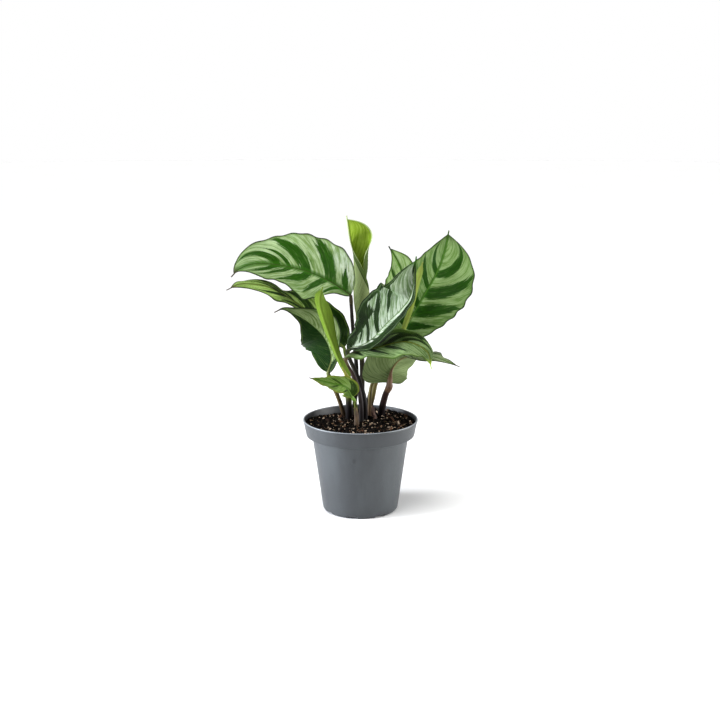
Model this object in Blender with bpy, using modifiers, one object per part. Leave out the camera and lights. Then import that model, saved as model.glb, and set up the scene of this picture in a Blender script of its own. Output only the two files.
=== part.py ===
"""A potted calathea: a plastic nursery pot, peat soil and twelve leaves on their stalks."""

import math

import bmesh
import bpy
import numpy as np
from mathutils import Vector

MM = 0.001

# Pot, in millimetres
RIM_RADIUS = 60.0
RIM_BAND_HEIGHT = 16.5
BAND_TAPER = 3.4
POT_HEIGHT = 97.0
SHOULDER_RADIUS = 50.2
FOOT_RADIUS = 39.6
FOOT_ROUNDING = 2.0
POT_WALL = 1.5
FLOOR_RAISE = 2.2
FLOOR_THICK = 1.8
FOOT_RING_WIDTH = 2.6
CENTRE_PAD_RADIUS = 12.0
POT_STEPS = 40
NOTCH_COUNT = 8
NOTCH_DEPTH = 14.0
NOTCH_WIDTH = 12.0
NOTCH_HEIGHT = 2.0
NOTCH_TURN_DEG = -103.0
DRAIN_RADIUS = 3.5
DRAIN_CENTRE = 29.0
DRAIN_SIDES = 12

# Soil, in millimetres
FIT_GAP = 0.35
SOIL_LEVEL = 92.8
SOIL_DOME = 2.4
SOIL_DOME_SPREAD = 24.0
SOIL_DOME_CENTRE = (3.0, 10.0)
SOIL_DIP = 4.2
SOIL_DIP_SPREAD = 26.0
SOIL_DIP_CENTRE = (-26.0, 46.0)
SOIL_LUMP = 0.9
SOIL_CALM_WIDTH = 7.0
SOIL_RINGS = 7
STALK_SINK = 12.0
SHEATH_SINK = 4.0

# Leaf blades and stalks, in millimetres
BLADE_THICK = 0.8
RIB_THICK = 1.7
BASE_HALF = 1.1
TIP_HALF = 0.55
ALONG = 17
ACROSS = 8
ACROSS_ROLLED = 12
LOBE_REACH = 0.35
STALK_GAP = 0.3
STALK_LEAN_SHARE = 0.7
STALK_PLACES = 11

# Colours (linear RGB)
POT_GREY = (0.155, 0.175, 0.190)
PEAT = (0.020, 0.013, 0.010)
LEAF_GREEN = (0.060, 0.170, 0.030)
LEAF_DEEP = (0.025, 0.095, 0.018)
LEAF_PALE = (0.180, 0.290, 0.120)
YOUNG_GREEN = (0.260, 0.380, 0.045)
STALK_DARK = (0.022, 0.012, 0.012)
STALK_BROWN = (0.110, 0.070, 0.035)
DRY_TAN = (0.300, 0.190, 0.090)

# Each leaf's rib runs from the end of its stalk to its tip, in millimetres. "face" is the way the
# upper side looks, from base to tip. "left" and "right" are the halves seen from above with the tip
# ahead: half widths, then how far the half rises from the rib in degrees, then how many degrees
# further it bends on its way to the edge (for a rolled leaf, the radius it rolls to). Each list is
# spread evenly from base to tip. "outline" is where the leaf is widest, how round its base is and
# how blunt each half's tip is. "wave" is the edge's height, count and start. "lobes" is how far
# each half's edge reaches back past the stalk.
LEAVES = {
    "leaf_left": dict(
        rib=[(-10, 14, 225), (-30, 10, 239), (-52, 5, 250), (-77, 1, 257), (-104, -3, 260), (-122, -6, 255),
             (-131, -8, 247)],
        face=[(0.25, -0.85, 0.45), (0.1, -0.85, 0.5), (-0.3, -0.8, 0.5)],
        left=((12, 14, 27, 34, 25, 22, 24, 19, 7), (12, 10, 12), (0, 0, 0)),
        right=((38, 40, 36, 27, 21), (22, 22, 12), (0, 0, 0)),
        outline=(0.4, 2.0, 2.6, 4.2), wave=(1.5, 3.0, 0.5), colour=LEAF_GREEN),
    "leaf_left_narrow": dict(
        rib=[(-17, 18, 169), (-40, 16, 193), (-62, 8, 215), (-86, -10, 234), (-103, -20, 241),
             (-120, -30, 243), (-133, -35, 238)],
        face=[(0.5, -0.85, 0.2), (0.3, -0.6, 0.7), (0.0, -0.1, 1.0)],
        left=((8, 9, 9, 18, 24), (0, -5, -12), (0, 0, 0)),
        right=((34, 32, 20, 8, 14, 24), (5, 0, 0), (0, 0, 0)),
        outline=(0.45, 2.4, 2.8, 4.0), wave=(1.2, 3.0, 2.0), colour=LEAF_GREEN),
    "leaf_left_hanging": dict(
        rib=[(-34, 12, 143), (-30, 4, 163), (-37, -4, 184), (-52, -11, 201), (-67, -15, 211), (-78, -18, 216),
             (-87, -20, 213)],
        face=[(0.0, -1.0, 0.1), (-0.3, -0.8, 0.5), (-0.2, -0.5, 0.85)],
        left=((30, 33, 26, 8, 4), (-10, -15, -30), (-10, -20, 0)),
        right=((8, 10, 23, 14, 6), (5, 12, 0), (0, 0, 0)),
        outline=(0.38, 2.3, 2.0, 2.4), wave=(0.8, 3.0, 0.0), colour=LEAF_DEEP),
    "leaf_young_left": dict(
        rib=[(-12, -12, 143), (-19, -17, 158), (-27, -23, 179), (-35, -28, 203), (-40, -32, 222),
             (-40, -33, 231), (-37, -34, 241)],
        face=[(0.3, 0.9, 0.1), (0.3, 0.9, 0.1), (0.3, 0.9, 0.1)],
        left=((9, 9, 10, 11), (0, 0, 0), (2.6, 2.8, 8.0, 20.0)),
        right=((10, 13, 16, 14), (0, 0, 0), (3.0, 4.6, 6.0, 8.0)),
        outline=(0.6, 3.0, 3.0, 3.0), wave=(0.0, 1.0, 0.0), colour=YOUNG_GREEN, rolled=True),
    "leaf_young_top": dict(
        rib=[(0, 28, 187), (-5, 28, 213), (-6, 28, 239), (-6, 27, 262), (-10, 24, 283), (-14, 19, 306)],
        face=[(1, 0, 0), (1, 0, 0), (1, 0, 0), (0.9, -0.4, 0), (0.3, -0.95, 0)],
        left=((20, 25, 15, 4, 2), (0, 0, 0), (7.8, 7.8, 10)),
        right=((22, 28, 28, 28, 32), (0, 0, 0), (5.0, 6.3, 6.3, 11, 40)),
        outline=(0.6, 3.0, 4.0, 3.6), wave=(0.0, 1.0, 0.0), colour=YOUNG_GREEN, rolled=True),
    "leaf_young_right": dict(
        rib=[(40, 2, 172), (43, 0, 187), (51, -2, 212), (57, -5, 238), (63, -6, 262)],
        face=[(0, 1, 0), (0, 1, 0), (0, 1, 0)],
        left=((5, 7, 7), (0, 0, 0), (1.7, 2.5, 2.7)), right=((5, 7, 7), (0, 0, 0), (1.7, 2.5, 2.7)),
        outline=(0.6, 3.0, 3.0, 3.0), wave=(0.0, 1.0, 0.0), colour=YOUNG_GREEN, rolled=True, across=8),
    "leaf_centre": dict(
        rib=[(-14, 6, 169), (-10, 1, 172), (1, -6, 176), (13, -14, 185), (26, -22, 201),
             (42, -26, 218), (51, -26, 233), (56, -18, 269)],
        face=[(-0.2, -0.7, 0.7), (-0.1, -0.75, 0.65), (0.2, -0.9, 0.4)],
        left=((26, 33, 34, 30), (25, 25, 10), (10, 10, 0)),
        right=((8, 26, 22, 8, 4), (45, 38, 80), (0, 0, 0)),
        outline=(0.48, 2.3, 3.2, 2.8), wave=(0.5, 2.5, 1.0), colour=LEAF_GREEN),
    "leaf_right": dict(
        rib=[(40, 14, 180), (50, 10, 197), (64, 8, 223), (78, 10, 248), (86, 14, 269), (91, 20, 291)],
        face=[(-0.2, -0.9, 0.4), (-0.1, -0.95, 0.25), (0.1, -0.95, 0.2)],
        left=((52, 31, 22), (14, 10, 0), (0, 0, 0)), right=((28, 42, 46), (5, 5, 0), (0, 0, 0)),
        outline=(0.48, 2.1, 2.6, 2.6), wave=(1.2, 2.5, 0.0), colour=LEAF_GREEN),
    "leaf_back": dict(
        rib=[(40, 40, 183), (45, 40, 215), (43, 42, 247), (30, 46, 272)],
        face=[(-0.2, -0.9, 0.3), (0.0, -0.9, 0.3), (0.3, -0.8, 0.3)],
        left=((12, 13, 21, 14, 3), (20, 10, 0), (0, 0, 0)), right=((17, 17, 17), (20, 10, 0), (0, 0, 0)),
        outline=(0.55, 2.2, 2.3, 2.3), wave=(1.4, 3.5, 0.3), colour=LEAF_PALE),
    "leaf_front_right": dict(
        rib=[(-17, -1, 162), (-9, -9, 169), (16, -26, 178), (45, -36, 186), (66, -44, 178), (71, -50, 161)],
        face=[(-0.2, -0.3, 0.9), (0.1, -0.3, 0.9), (0.7, -0.4, 0.5)],
        left=((20, 32, 26), (-15, 5, -10), (-10, -10, -20)),
        right=((8, 15, 26), (-10, -30, -10), (-20, -20, 0)),
        outline=(0.5, 2.3, 2.3, 2.3), wave=(2.0, 3.0, 0.0), colour=LEAF_GREEN),
    "leaf_right_low": dict(
        rib=[(30, 2, 135), (33, 8, 148), (43, 10, 159), (62, 2, 165), (79, -12, 164), (101, -20, 157)],
        face=[(-0.1, 0.95, -0.1), (-0.1, 0.3, 0.9), (0.2, -0.3, 0.9)],
        left=((23, 25, 16), (10, 5, 0), (0, 0, 0)), right=((37, 26, 12), (10, -10, 0), (0, 0, 0)),
        outline=(0.3, 4.0, 2.2, 2.2), wave=(1.0, 2.5, 0.0), lobes=(0, 10), colour=LEAF_PALE),
    "leaf_front_left": dict(
        rib=[(-8, -22, 125), (-15, -30, 138), (-31, -38, 144), (-51, -44, 151)],
        face=[(-0.2, -0.8, 0.5), (-0.1, -0.6, 0.8), (0.0, -0.3, 0.9)],
        left=((11, 11, 12), (0, 0, 0), (0, 0, 0)), right=((15, 12, 9), (0, 0, 0), (0, 0, 0)),
        outline=(0.4, 2.3, 2.0, 2.0), wave=(0.8, 2.0, 0.0), colour=LEAF_GREEN),
}

# Each stalk's leaf, colour, radius at foot and top, and route: its foot in the soil as (x, y), then
# the places it passes before it ends just below the leaf.
STALKS = {
    "stalk_left": ("leaf_left", STALK_DARK, 2.6, 1.7, [(-7, 28), (-4, 26, 140), (-8, 19, 190)]),
    "stalk_left_narrow": (
        "leaf_left_narrow", STALK_DARK, 2.0, 1.6, [(-13, 23), (-15, 23, 130), (-15, 20, 155)]),
    "stalk_left_hanging": (
        "leaf_left_hanging", STALK_BROWN, 2.6, 2.0, [(-18, 29), (-24, 23, 115), (-31, 17, 132)]),
    "stalk_young_left": ("leaf_young_left", STALK_DARK, 3.9, 2.6, [(-12, 7), (-12, 0, 118), (-10, -9, 136)]),
    "stalk_young_top": ("leaf_young_top", STALK_DARK, 3.2, 2.4, [(1, 22), (2, 26, 140), (1, 28, 170)]),
    "stalk_young_right": (
        "leaf_young_right", STALK_BROWN, 2.0, 1.6, [(10, 14), (12, 13, 130), (30, 10, 158)]),
    "stalk_centre": ("leaf_centre", STALK_DARK, 3.0, 2.0, [(5, 5), (4, 4, 118), (-3, 7, 140), (-11, 9, 158)]),
    "stalk_right": (
        "leaf_right", STALK_BROWN, 3.0, 2.1, [(9, 21), (13, 21, 115), (17, 20, 133), (27, 19, 155)]),
    "stalk_back": ("leaf_back", STALK_DARK, 2.0, 1.6, [(6, 29), (11, 30, 120), (17, 32, 137), (28, 38, 163)]),
    "stalk_front_right": (
        "leaf_front_right", STALK_DARK, 2.8, 2.0, [(1, -5), (0, -6, 120), (-6, -3, 140), (-14, 0, 154)]),
    "stalk_right_low": ("leaf_right_low", STALK_DARK, 4.0, 3.1, [(22, 20), (26, 12, 118), (30, 3, 130)]),
    "stalk_front_left": (
        "leaf_front_left", STALK_BROWN, 2.0, 1.5, [(-4, 1), (-5, -2, 112), (-6, -12, 119), (-7, -19, 122)]),
}

# Dry sheaths left at the foot of the stalks: colour, radius at foot and top, and route.
SHEATHS = {
    "old_sheath_front": (DRY_TAN, 3.6, 1.8, [(-4, -13), (-4, -13, 104), (-6, -13, 112)]),
    "old_sheath_right": (STALK_BROWN, 3.4, 2.2, [(15, 8), (14, 8, 100), (14, 9, 108)]),
}


def clear_scene():
    for old in list(bpy.data.objects):
        bpy.data.objects.remove(old, do_unlink=True)


def new_collection(name):
    group = bpy.data.collections.new(name)
    bpy.context.scene.collection.children.link(group)
    return group


def material(name, colour, roughness):
    made = bpy.data.materials.new(name)
    made.use_nodes = True
    shader = made.node_tree.nodes["Principled BSDF"]
    shader.inputs["Base Color"].default_value = (*colour, 1.0)
    shader.inputs["Roughness"].default_value = roughness
    shader.inputs["Metallic"].default_value = 0.0
    made.diffuse_color = (*colour, 1.0)
    return made


def add_object(name, data, group, look=None):
    made = bpy.data.objects.new(name, data)
    group.objects.link(made)
    if look is not None:
        data.materials.append(look)
    return made


def unit(v):
    return v / np.linalg.norm(v, axis=-1, keepdims=True)


def between(values, t):
    """Values spread evenly from base to tip, read smoothly at each place t from 0 to 1."""
    table = np.array(values, float).reshape(len(values), -1)
    ends = np.vstack([2 * table[0] - table[1], table, 2 * table[-1] - table[-2]])
    place = np.clip(t, 0, 1) * (len(table) - 1)
    i = np.minimum(place.astype(int), len(table) - 2)
    s = (place - i)[:, None]
    before, here, there, after = ends[i], ends[i + 1], ends[i + 2], ends[i + 3]
    pull, push = (there - before) / 2, (after - here) / 2
    read = ((2 * s**3 - 3 * s**2 + 1) * here + (s**3 - 2 * s**2 + s) * pull
            + (3 * s**2 - 2 * s**3) * there + (s**3 - s**2) * push)
    return read[:, 0] if np.ndim(values[0]) == 0 else read


def smooth_path(points, count):
    """Evenly spaced places on the smooth curve that passes through the points."""
    fine = between(points, np.linspace(0, 1, 400))
    run = np.concatenate([[0], np.cumsum(np.linalg.norm(np.diff(fine, axis=0), axis=1))])
    places = np.linspace(0, run[-1], count)
    return np.stack([np.interp(places, run, fine[:, k]) for k in range(3)], axis=1)


def half_outline(t, widest, base_round, tip_blunt):
    """The half width of an egg-shaped leaf with a drawn-out tip, as a share of the greatest."""
    base_side = np.clip(1 - (np.abs(widest - t) / widest) ** 2, 0, 1) ** (1 / base_round)
    tip_side = 1 - np.clip((t - widest) / (0.97 - widest), 0, 1) ** tip_blunt
    return np.where(t < widest, base_side, tip_side)


def half_surface(leaf, sign, t, across):
    """How far out from the rib, how high and how far back each place of one half stands."""
    widths, lift, bend = leaf["left"] if sign < 0 else leaf["right"]
    widest, base_round, *tips = leaf["outline"]
    share = half_outline(t, widest, base_round, tips[0 if sign < 0 else 1])
    half = np.maximum(between(widths, t) * share, BASE_HALF + (TIP_HALF - BASE_HALF) * t)
    curl = half / between(bend, t) if leaf.get("rolled") else np.radians(between(bend, t))
    steps = 12
    s = (np.arange(across * steps) + 0.5) / (across * steps)
    angle = np.radians(between(lift, t))[:, None] + curl[:, None] * s
    cell = (half / (across * steps))[:, None]
    out = np.cumsum(cell * np.cos(angle), axis=1)[:, steps - 1::steps]
    rise = np.cumsum(cell * np.sin(angle), axis=1)[:, steps - 1::steps]
    reach = (np.arange(across) + 1) / across
    amount, count, phase = leaf["wave"]
    rise += amount * (share * np.sin(2 * math.pi * (count * t + phase) + sign))[:, None] * reach**2
    lobe = leaf.get("lobes", (0, 0))[0 if sign < 0 else 1]
    back = lobe * (share * np.clip(1 - t / LOBE_REACH, 0, 1) ** 2)[:, None] * reach**2
    return out, rise, back


def blade_surface(leaf, along, across):
    """The upper face of a leaf as a grid of places: stations from base to tip, left edge to right."""
    stations = np.linspace(0, 1, along + 1)
    t = stations - 0.35 * np.sin(2 * math.pi * stations) / (2 * math.pi)
    fine = smooth_path(leaf["rib"], 400)
    rib = np.stack([np.interp(t, np.linspace(0, 1, 400), fine[:, k]) for k in range(3)], axis=1)
    ahead = unit(np.gradient(rib, axis=0))
    up = between(leaf["face"], t)
    up = unit(up - ahead * np.sum(up * ahead, axis=1, keepdims=True))
    side = np.cross(ahead, up)
    middle = across // 2
    grid = np.zeros((along + 1, across + 1, 3))
    grid[:, middle] = rib
    for sign in (-1, 1):
        out, rise, back = half_surface(leaf, sign, t, middle)
        for step in range(middle):
            grid[:, middle + sign * (step + 1)] = (
                rib + side * (sign * out[:, step])[:, None] + up * rise[:, step][:, None]
                - ahead * back[:, step][:, None])
    return grid


def blade_size(leaf):
    return ALONG, leaf.get("across", ACROSS_ROLLED if leaf.get("rolled") else ACROSS)


def blade_mesh(name, leaf):
    along, across = blade_size(leaf)
    grid = blade_surface(leaf, along, across)
    sheet = bmesh.new()
    bmesh.ops.create_grid(sheet, x_segments=across, y_segments=along, size=1.0)
    sheet.verts.ensure_lookup_table()
    for row in range(along + 1):
        for column in range(across + 1):
            sheet.verts[row * (across + 1) + column].co = Vector(grid[row, column] * MM)
    bmesh.ops.triangulate(sheet, faces=sheet.faces[:], quad_method="FIXED")
    sheet.normal_update()
    mesh = bpy.data.meshes.new(name)
    sheet.to_mesh(mesh)
    sheet.free()
    mesh.shade_smooth()
    return mesh


def thicken_blade(leaf_object, leaf):
    """Gives the sheet its thickness, with a rib that stands out below and fades to the tip."""
    along, across = blade_size(leaf)
    rib = leaf_object.vertex_groups.new(name="rib")
    for row in range(along + 1):
        rib.add([row * (across + 1) + across // 2], 1 - row / along, "REPLACE")
    wall = leaf_object.modifiers.new("blade", "SOLIDIFY")
    wall.thickness = RIB_THICK * MM
    wall.thickness_vertex_group = BLADE_THICK / RIB_THICK
    wall.vertex_group = "rib"
    wall.offset = -1.0
    wall.use_even_offset = False


def build_leaf(name, leaf, group):
    look = material(name + "_green", leaf["colour"], 0.42)
    made = add_object(name, blade_mesh(name, leaf), group, look)
    thicken_blade(made, leaf)
    return made


def swell(x, y, centre, spread):
    """1 at the centre of a heap or dip, falling softly to 0 round it."""
    far = math.hypot(x - centre[0], y - centre[1]) / spread
    return math.exp(-far * far)


def soil_height(x, y):
    """The top of the soil: heaped round the stalks, sunk at the back left, with small lumps."""
    heap = SOIL_DOME * swell(x, y, SOIL_DOME_CENTRE, SOIL_DOME_SPREAD)
    dip = SOIL_DIP * swell(x, y, SOIL_DIP_CENTRE, SOIL_DIP_SPREAD)
    lumps = math.sin(0.37 * x + 1.3) * math.sin(0.41 * y + 0.4) + 0.6 * math.sin(0.83 * x - 0.57 * y)
    calm = min(max((RIM_RADIUS - math.hypot(x, y)) / SOIL_CALM_WIDTH, 0.2), 1.0)
    return SOIL_LEVEL + heap - dip + SOIL_LUMP * calm * lumps


def rooted(points, sink):
    """The route with its foot drawn as two places, one under the soil's top and one above it."""
    x, y = points[0]
    top = soil_height(x, y)
    return [(x, y, top - sink), (x, y, top + 3)] + list(points[1:])


def stalk_route(leaf_name, top_radius, points):
    """The route to just below the leaf, further below where the rib leaves at an angle."""
    rib = smooth_path(LEAVES[leaf_name]["rib"], 60)
    arriving = unit(rib[0] - np.array(points[-1], float))
    leaving = unit(rib[1] - rib[0])
    lean = np.linalg.norm(np.cross(arriving, leaving))
    end = rib[0] - arriving * (STALK_GAP + STALK_LEAN_SHARE * top_radius * lean)
    return rooted(points, STALK_SINK) + [tuple(end)]


def tube(name, path, radii, group, look=None):
    """A round bar through the places of a path, in millimetres, its radius changing evenly."""
    curve = bpy.data.curves.new(name, "CURVE")
    curve.dimensions = "3D"
    curve.bevel_depth = MM
    curve.bevel_resolution = 1
    curve.use_fill_caps = True
    spline = curve.splines.new("POLY")
    spline.points.add(len(path) - 1)
    for i, place in enumerate(path):
        spline.points[i].co = (*(Vector(place) * MM), 1.0)
        spline.points[i].radius = radii[0] + (radii[1] - radii[0]) * i / (len(path) - 1)
    return add_object(name, curve, group, look)


def outer_profile():
    band = POT_HEIGHT - RIM_BAND_HEIGHT
    return [
        (RIM_RADIUS - 0.8, POT_HEIGHT), (RIM_RADIUS, POT_HEIGHT - 0.9),
        (RIM_RADIUS - BAND_TAPER, band), (RIM_RADIUS - BAND_TAPER - 0.7, band - 0.7),
        (SHOULDER_RADIUS + 0.9, band - 1.2), (SHOULDER_RADIUS, band - 2.2),
        (FOOT_RADIUS, 3.2), (FOOT_RADIUS - 0.7, 1.2), (FOOT_RADIUS - FOOT_ROUNDING, 0.0),
    ]


def inner_profile():
    """From the middle of the floor outwards and up to the rim."""
    band = POT_HEIGHT - RIM_BAND_HEIGHT
    floor = FLOOR_RAISE + FLOOR_THICK
    return [
        (FOOT_RADIUS - POT_WALL - 1.0, floor), (FOOT_RADIUS - POT_WALL + 0.1, floor + 1.4),
        (SHOULDER_RADIUS - POT_WALL - 0.1, band - 0.6), (SHOULDER_RADIUS - POT_WALL + 0.6, band + 0.3),
        (RIM_RADIUS - BAND_TAPER - POT_WALL - 0.9, band + 0.9),
        (RIM_RADIUS - BAND_TAPER - POT_WALL, band + 1.7),
        (RIM_RADIUS - POT_WALL - 0.2, POT_HEIGHT - 0.5),
    ]


def turned(name, profile, steps, group, look=None):
    """A solid turned about the Z axis from a profile in millimetres."""
    mesh = bpy.data.meshes.new(name)
    places = [(r * MM, 0.0, z * MM) for r, z in profile]
    mesh.from_pydata(places, [(i, i + 1) for i in range(len(places) - 1)], [])
    made = add_object(name, mesh, group, look)
    screw = made.modifiers.new("turn", "SCREW")
    screw.steps = steps
    screw.render_steps = steps
    screw.use_merge_vertices = True
    screw.merge_threshold = 0.00001
    screw.use_normal_calculate = False
    return made


def cutter_look(made):
    made.hide_render = True
    made.display_type = "WIRE"
    return made


def box_cutter(name, size, place, turn, group):
    mesh = bpy.data.meshes.new(name)
    block = bmesh.new()
    bmesh.ops.create_cube(block, size=1.0)
    bmesh.ops.scale(block, vec=Vector(size) * MM, verts=block.verts[:])
    block.to_mesh(mesh)
    block.free()
    made = cutter_look(add_object(name, mesh, group))
    made.location = Vector(place) * MM
    made.rotation_euler = (0, 0, turn)
    return made


def round_cutter(name, radius, height, place, group):
    mesh = bpy.data.meshes.new(name)
    peg = bmesh.new()
    bmesh.ops.create_cone(peg, cap_ends=True, segments=DRAIN_SIDES, radius1=radius * MM, radius2=radius * MM,
                          depth=height * MM)
    peg.to_mesh(mesh)
    peg.free()
    made = cutter_look(add_object(name, mesh, group))
    made.location = Vector(place) * MM
    return made


def cut(target, cutter):
    hole = target.modifiers.new("cut " + cutter.name, "BOOLEAN")
    hole.operation = "DIFFERENCE"
    hole.solver = "EXACT"
    hole.object = cutter


def build_pot(group, cutters):
    foot_inner = FOOT_RADIUS - FOOT_ROUNDING - FOOT_RING_WIDTH
    floor_top = FLOOR_RAISE + FLOOR_THICK
    profile = [(0.0, floor_top)] + inner_profile() + outer_profile()
    profile += [
        (foot_inner, 0.0), (foot_inner - 0.8, FLOOR_RAISE),
        (CENTRE_PAD_RADIUS + 0.8, FLOOR_RAISE), (CENTRE_PAD_RADIUS, 0.0), (0.0, 0.0),
    ]
    pot = turned("pot", profile, POT_STEPS, group, material("pot_grey", POT_GREY, 0.55))
    for i in range(NOTCH_COUNT):
        turn = math.radians(NOTCH_TURN_DEG + i * 360 / NOTCH_COUNT)
        ahead = Vector((math.cos(turn), math.sin(turn), 0.0))
        notch = (NOTCH_DEPTH, NOTCH_WIDTH, 2 * NOTCH_HEIGHT)
        cut(pot, box_cutter(f"notch_{i}", notch, ahead * (FOOT_RADIUS - 1.0), turn, cutters))
        drain = ahead * DRAIN_CENTRE + Vector((0.0, 0.0, floor_top / 2))
        cut(pot, round_cutter(f"drain_{i}", DRAIN_RADIUS, 3 * floor_top, drain, cutters))
    return pot


def soil_radius(z):
    """How far the soil reaches inside the rim band at a height."""
    low, high = inner_profile()[-2:]
    return low[0] + (high[0] - low[0]) * (z - low[1]) / (high[1] - low[1]) - FIT_GAP


def soil_profile():
    walls = [(r - FIT_GAP, z + FIT_GAP) for r, z in inner_profile()[:-1]]
    top = [(soil_radius(SOIL_LEVEL) * i / SOIL_RINGS, SOIL_LEVEL) for i in range(SOIL_RINGS + 1)]
    return top + walls[::-1] + [(0.0, FLOOR_RAISE + FLOOR_THICK + FIT_GAP)]


def frozen(made):
    """The object's evaluated mesh, welded, as a mesh of its own."""
    depth = bpy.context.evaluated_depsgraph_get()
    mesh = bpy.data.meshes.new_from_object(made.evaluated_get(depth))
    welded = bmesh.new()
    welded.from_mesh(mesh)
    bmesh.ops.remove_doubles(welded, verts=welded.verts[:], dist=0.000005)
    welded.to_mesh(mesh)
    welded.free()
    return mesh


def build_soil(group, cutters, holes):
    soil = turned("soil", soil_profile(), POT_STEPS, group, material("peat", PEAT, 0.95))
    mesh = frozen(soil)
    soil.modifiers.clear()
    for vertex in mesh.vertices:
        x, y, z = vertex.co / MM
        if abs(z - SOIL_LEVEL) < 0.01:
            height = soil_height(x, y)
            inward = min(1.0, soil_radius(height) / max(math.hypot(x, y), 1.0))
            vertex.co = Vector((x * inward, y * inward, height)) * MM
    soil.data = mesh
    for hole in holes:
        cut(soil, hole)
    return soil


def hole_for(name, path, radii, cutters):
    """A plain hole in the soil, a little wider than the bar that stands in it."""
    below = tuple(path[0] - unit(path[1] - path[0]) * FIT_GAP)
    bore = tube("bore_" + name, [below] + [tuple(p) for p in path[1:6]],
                (radii[0] + FIT_GAP, radii[0] + FIT_GAP), cutters)
    mesh = frozen(bore)
    bpy.data.objects.remove(bore, do_unlink=True)
    return cutter_look(add_object("hole_" + name, mesh, cutters))


def build_rooted(name, route, radii, colour, group, cutters):
    """A stalk or sheath standing in the soil, and the hole it stands in."""
    path = smooth_path(route, STALK_PLACES)
    tube(name, path, radii, group, material(name + "_skin", colour, 0.5))
    return hole_for(name, path, radii, cutters)


def build():
    clear_scene()
    plant = new_collection("potted calathea")
    cutters = new_collection("cutters")
    build_pot(plant, cutters)
    for name, leaf in LEAVES.items():
        build_leaf(name, leaf, plant)
    holes = []
    for name, (leaf_name, colour, foot, top, points) in STALKS.items():
        route = stalk_route(leaf_name, top, points)
        holes.append(build_rooted(name, route, (foot, top), colour, plant, cutters))
    for name, (colour, foot, top, points) in SHEATHS.items():
        route = rooted(points, SHEATH_SINK)
        holes.append(build_rooted(name, route, (foot, top), colour, plant, cutters))
    build_soil(plant, cutters, holes)


build()
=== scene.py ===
# %% [markdown]
# # A potted calathea
# A young calathea stands in a plastic nursery pot of 12 cm across the rim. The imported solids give
# every leaf, stalk, pot and heap of soil its size and place. This lesson puts a finer piece of the
# same form in the place of each one, and gives it the finish that the real plant has.

# %% The frame
import math
import random

import bpy
import numpy as np
from mathutils import Euler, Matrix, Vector, noise


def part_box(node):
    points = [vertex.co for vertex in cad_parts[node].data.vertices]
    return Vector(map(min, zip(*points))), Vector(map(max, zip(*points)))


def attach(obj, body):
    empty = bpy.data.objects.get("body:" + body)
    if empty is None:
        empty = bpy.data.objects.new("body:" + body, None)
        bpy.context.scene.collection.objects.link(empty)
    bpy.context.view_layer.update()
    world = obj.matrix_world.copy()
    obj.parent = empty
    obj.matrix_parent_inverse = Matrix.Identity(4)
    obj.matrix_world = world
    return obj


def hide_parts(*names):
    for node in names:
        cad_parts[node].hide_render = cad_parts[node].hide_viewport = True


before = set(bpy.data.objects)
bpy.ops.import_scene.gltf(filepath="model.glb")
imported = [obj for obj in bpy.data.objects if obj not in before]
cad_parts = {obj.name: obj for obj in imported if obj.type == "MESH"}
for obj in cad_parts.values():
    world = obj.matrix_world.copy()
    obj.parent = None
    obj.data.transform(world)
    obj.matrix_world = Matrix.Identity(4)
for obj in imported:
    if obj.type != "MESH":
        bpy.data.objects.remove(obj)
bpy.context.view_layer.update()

print("nodes in the frame:", len(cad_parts))

# %% [markdown]
# ## The camera
# The camera stands a little over a metre away, a bit above the plant, and looks slightly down. The
# lens is given as a focal length in pixels of the 720 pixel frame, because that is what can be
# measured in a photograph, and turned into millimetres of a 36 mm sensor.

# %% Camera
FRAME_PIXELS = 720
FOCAL_PIXELS = 1188
CAMERA_PLACE = (-0.0004, -1.2, 0.4185)
CAMERA_DOWN_DEG = 12.19

bpy.ops.object.camera_add(location=CAMERA_PLACE, rotation=(math.radians(90 - CAMERA_DOWN_DEG), 0, 0))
camera = bpy.context.object
camera.data.sensor_width = 36.0
camera.data.lens = 36.0 * FOCAL_PIXELS / FRAME_PIXELS
bpy.context.scene.camera = camera
print("lens in mm:", round(camera.data.lens, 1))

# %% [markdown]
# ## A material in few words
# Shader nodes are easy to read in a window and long to write in code. A small helper keeps each
# finish short: it adds a node, feeds its sockets with numbers or with other sockets, and gives back
# the socket that carries the answer. Tones are written as a screen shows them, from 0 to 255.

# %% Material helper
def srgb(red, green, blue):
    """A colour as a screen shows it, from 0 to 255, turned into the linear values that shaders use."""
    shares = [value / 255 for value in (red, green, blue)]
    return tuple(s / 12.92 if s <= 0.04045 else ((s + 0.055) / 1.055) ** 2.4 for s in shares)


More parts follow.
